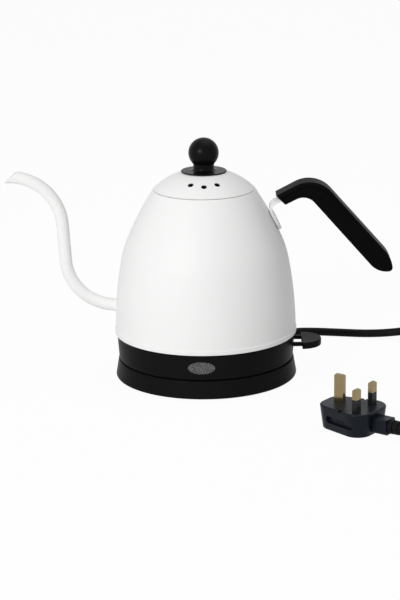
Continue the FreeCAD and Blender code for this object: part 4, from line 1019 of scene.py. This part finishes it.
@dataclass
class Studio:
    """White studio with a pale floor, soft lamps and the photograph's camera."""

    camera_back: float = 1.617
    camera_up: float = 0.5194
    pitch_down: float = 15.775
    yaw_left: float = 0.16
    roll: float = -0.8
    lens: float = 122.04
    world_light: float = 0.415
    floor_half: float = 6.0
    floor_paint: float = 0.9
    floor_share: float = 0.95

    def camera(self) -> None:
        """Stands the camera where the photograph was taken from."""
        data = bpy.data.cameras.new("camera")
        data.sensor_fit = "VERTICAL"
        data.sensor_height = 36.0
        data.lens = self.lens
        data.clip_end = 50.0
        camera = bpy.data.objects.new("camera", data)
        tilt = math.radians(90 - self.pitch_down)
        turn = math.radians(self.yaw_left)
        roll = math.radians(self.roll)
        place = Matrix.Translation((0, -self.camera_back, self.camera_up))
        aim = Matrix.Rotation(turn, 4, "Z") @ Matrix.Rotation(tilt, 4, "X") @ Matrix.Rotation(roll, 4, "Z")
        bpy.context.scene.collection.objects.link(camera)
        camera.matrix_world = place @ aim
        bpy.context.scene.camera = camera

    def seen_directly(self, tree: bpy.types.NodeTree) -> Output:
        """Value that is 1 for what the camera sees, directly, mirrored or through glass.

        Args:
            tree: node tree of the floor or the world.

        Returns:
            The value.
        """
        path = tree.nodes.new("ShaderNodeLightPath")
        total = path.outputs["Is Camera Ray"]
        for name in ("Is Glossy Ray", "Is Transmission Ray"):
            most = tree.nodes.new("ShaderNodeMath")
            most.operation = "MAXIMUM"
            tree.links.new(total, most.inputs[0])
            tree.links.new(path.outputs[name], most.inputs[1])
            total = most.outputs[0]
        return total

    def world(self) -> None:
        """White surroundings that light the object at a plain level."""
        world = bpy.data.worlds.new("studio")
        world.use_nodes = True
        tree = world.node_tree
        tree.nodes.clear()
        soft = tree.nodes.new("ShaderNodeBackground")
        soft.inputs["Color"].default_value = (1, 1, 1, 1)
        soft.inputs["Strength"].default_value = self.world_light
        white = tree.nodes.new("ShaderNodeBackground")
        white.inputs["Color"].default_value = (1, 1, 1, 1)
        mix = tree.nodes.new("ShaderNodeMixShader")
        out = tree.nodes.new("ShaderNodeOutputWorld")
        tree.links.new(self.seen_directly(tree), mix.inputs[0])
        tree.links.new(soft.outputs[0], mix.inputs[1])
        tree.links.new(white.outputs[0], mix.inputs[2])
        tree.links.new(mix.outputs[0], out.inputs[0])
        bpy.context.scene.world = world

    def floor(self) -> None:
        """Pale floor that shows white and keeps the object's soft shadow."""
        mesh = bpy.data.meshes.new("floor")
        half = self.floor_half
        corners = [(-half, -half, 0), (half, -half, 0), (half, half, 0), (-half, half, 0)]
        mesh.from_pydata(corners, [], [(0, 1, 2, 3)])
        floor = bpy.data.objects.new("floor", mesh)
        material = bpy.data.materials.new("floor_white")
        material.use_nodes = True
        tree = material.node_tree
        tree.nodes.clear()
        paint = tree.nodes.new("ShaderNodeBsdfDiffuse")
        paint.inputs["Color"].default_value = (*[self.floor_paint] * 3, 1)
        glow = tree.nodes.new("ShaderNodeEmission")
        glow.inputs["Color"].default_value = (1, 1, 1, 1)
        glow.inputs["Strength"].default_value = 1.0
        share = tree.nodes.new("ShaderNodeMath")
        share.operation = "MULTIPLY"
        share.inputs[1].default_value = self.floor_share
        mix = tree.nodes.new("ShaderNodeMixShader")
        out = tree.nodes.new("ShaderNodeOutputMaterial")
        tree.links.new(self.seen_directly(tree), share.inputs[0])
        tree.links.new(share.outputs[0], mix.inputs[0])
        tree.links.new(paint.outputs[0], mix.inputs[1])
        tree.links.new(glow.outputs[0], mix.inputs[2])
        tree.links.new(mix.outputs[0], out.inputs[0])
        mesh.materials.append(material)
        bpy.context.scene.collection.objects.link(floor)

    def build(self) -> None:
        """Sets up camera, world, floor and lamps."""
        bpy.context.scene.view_settings.view_transform = "Standard"
        self.camera()
        self.world()
        self.floor()
        middle = (0.0, 0.0, 0.09)
        SoftBox("key_left", place=(-0.93, -1.58, 0.86), aim=middle, size=(0.55, 0.55), power=19.5).build()
        SoftBox("top", place=(0.3, 0.12, 1.6), aim=middle, size=(1.0, 1.0), power=5.0).build()


def place(piece: bpy.types.Object, body: Body, slot: Slot, *nodes: str) -> None:
    """Lets a new piece stand for solids: it rides on their body, and the solids are hidden.

    Args:
        piece: the new piece.
        body: the body that it rides on.
        slot: not used.
        nodes: names of the solids that it stands for.
    """
    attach(piece, body.value)
    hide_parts(*nodes)
    LOG.info("%s stands for %s", piece.name, ", ".join(nodes))


def main() -> None:
    """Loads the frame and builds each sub-assembly in order."""
    logging.basicConfig(level=logging.INFO, format="%(name)s: %(message)s")
    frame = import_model()
    Studio().build()
    finishes = Finishes()
    finishes.dress_nodes(frame["nodes"])
    lead = Lead()
    cord = lead.build()
    finishes.dress(cord, RUBBER.name)
    place(cord, Body.BASE, Slot.RUBBER, "mains_cord_base", "cord_coil", "mains_cord_plug")
    vessel = Vessel()
    gooseneck = Spout()
    shell = vessel.build()
    gooseneck.pierce(shell)
    finishes.dress(shell, ENAMEL.name)
    place(shell, Body.KETTLE, Slot.ENAMEL, "vessel_body")
    spout = gooseneck.build(vessel)
    finishes.dress(spout, ENAMEL.name)
    place(spout, Body.KETTLE, Slot.ENAMEL, "spout_tube")
    knob = Knob(foot_z=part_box("lid_knob")[0][2] / MM).build()
    finishes.dress(knob, KNOB_BLACK.name)
    place(knob, Body.LID, Slot.KNOB, "lid_knob")


if __name__ == "__main__":
    main()
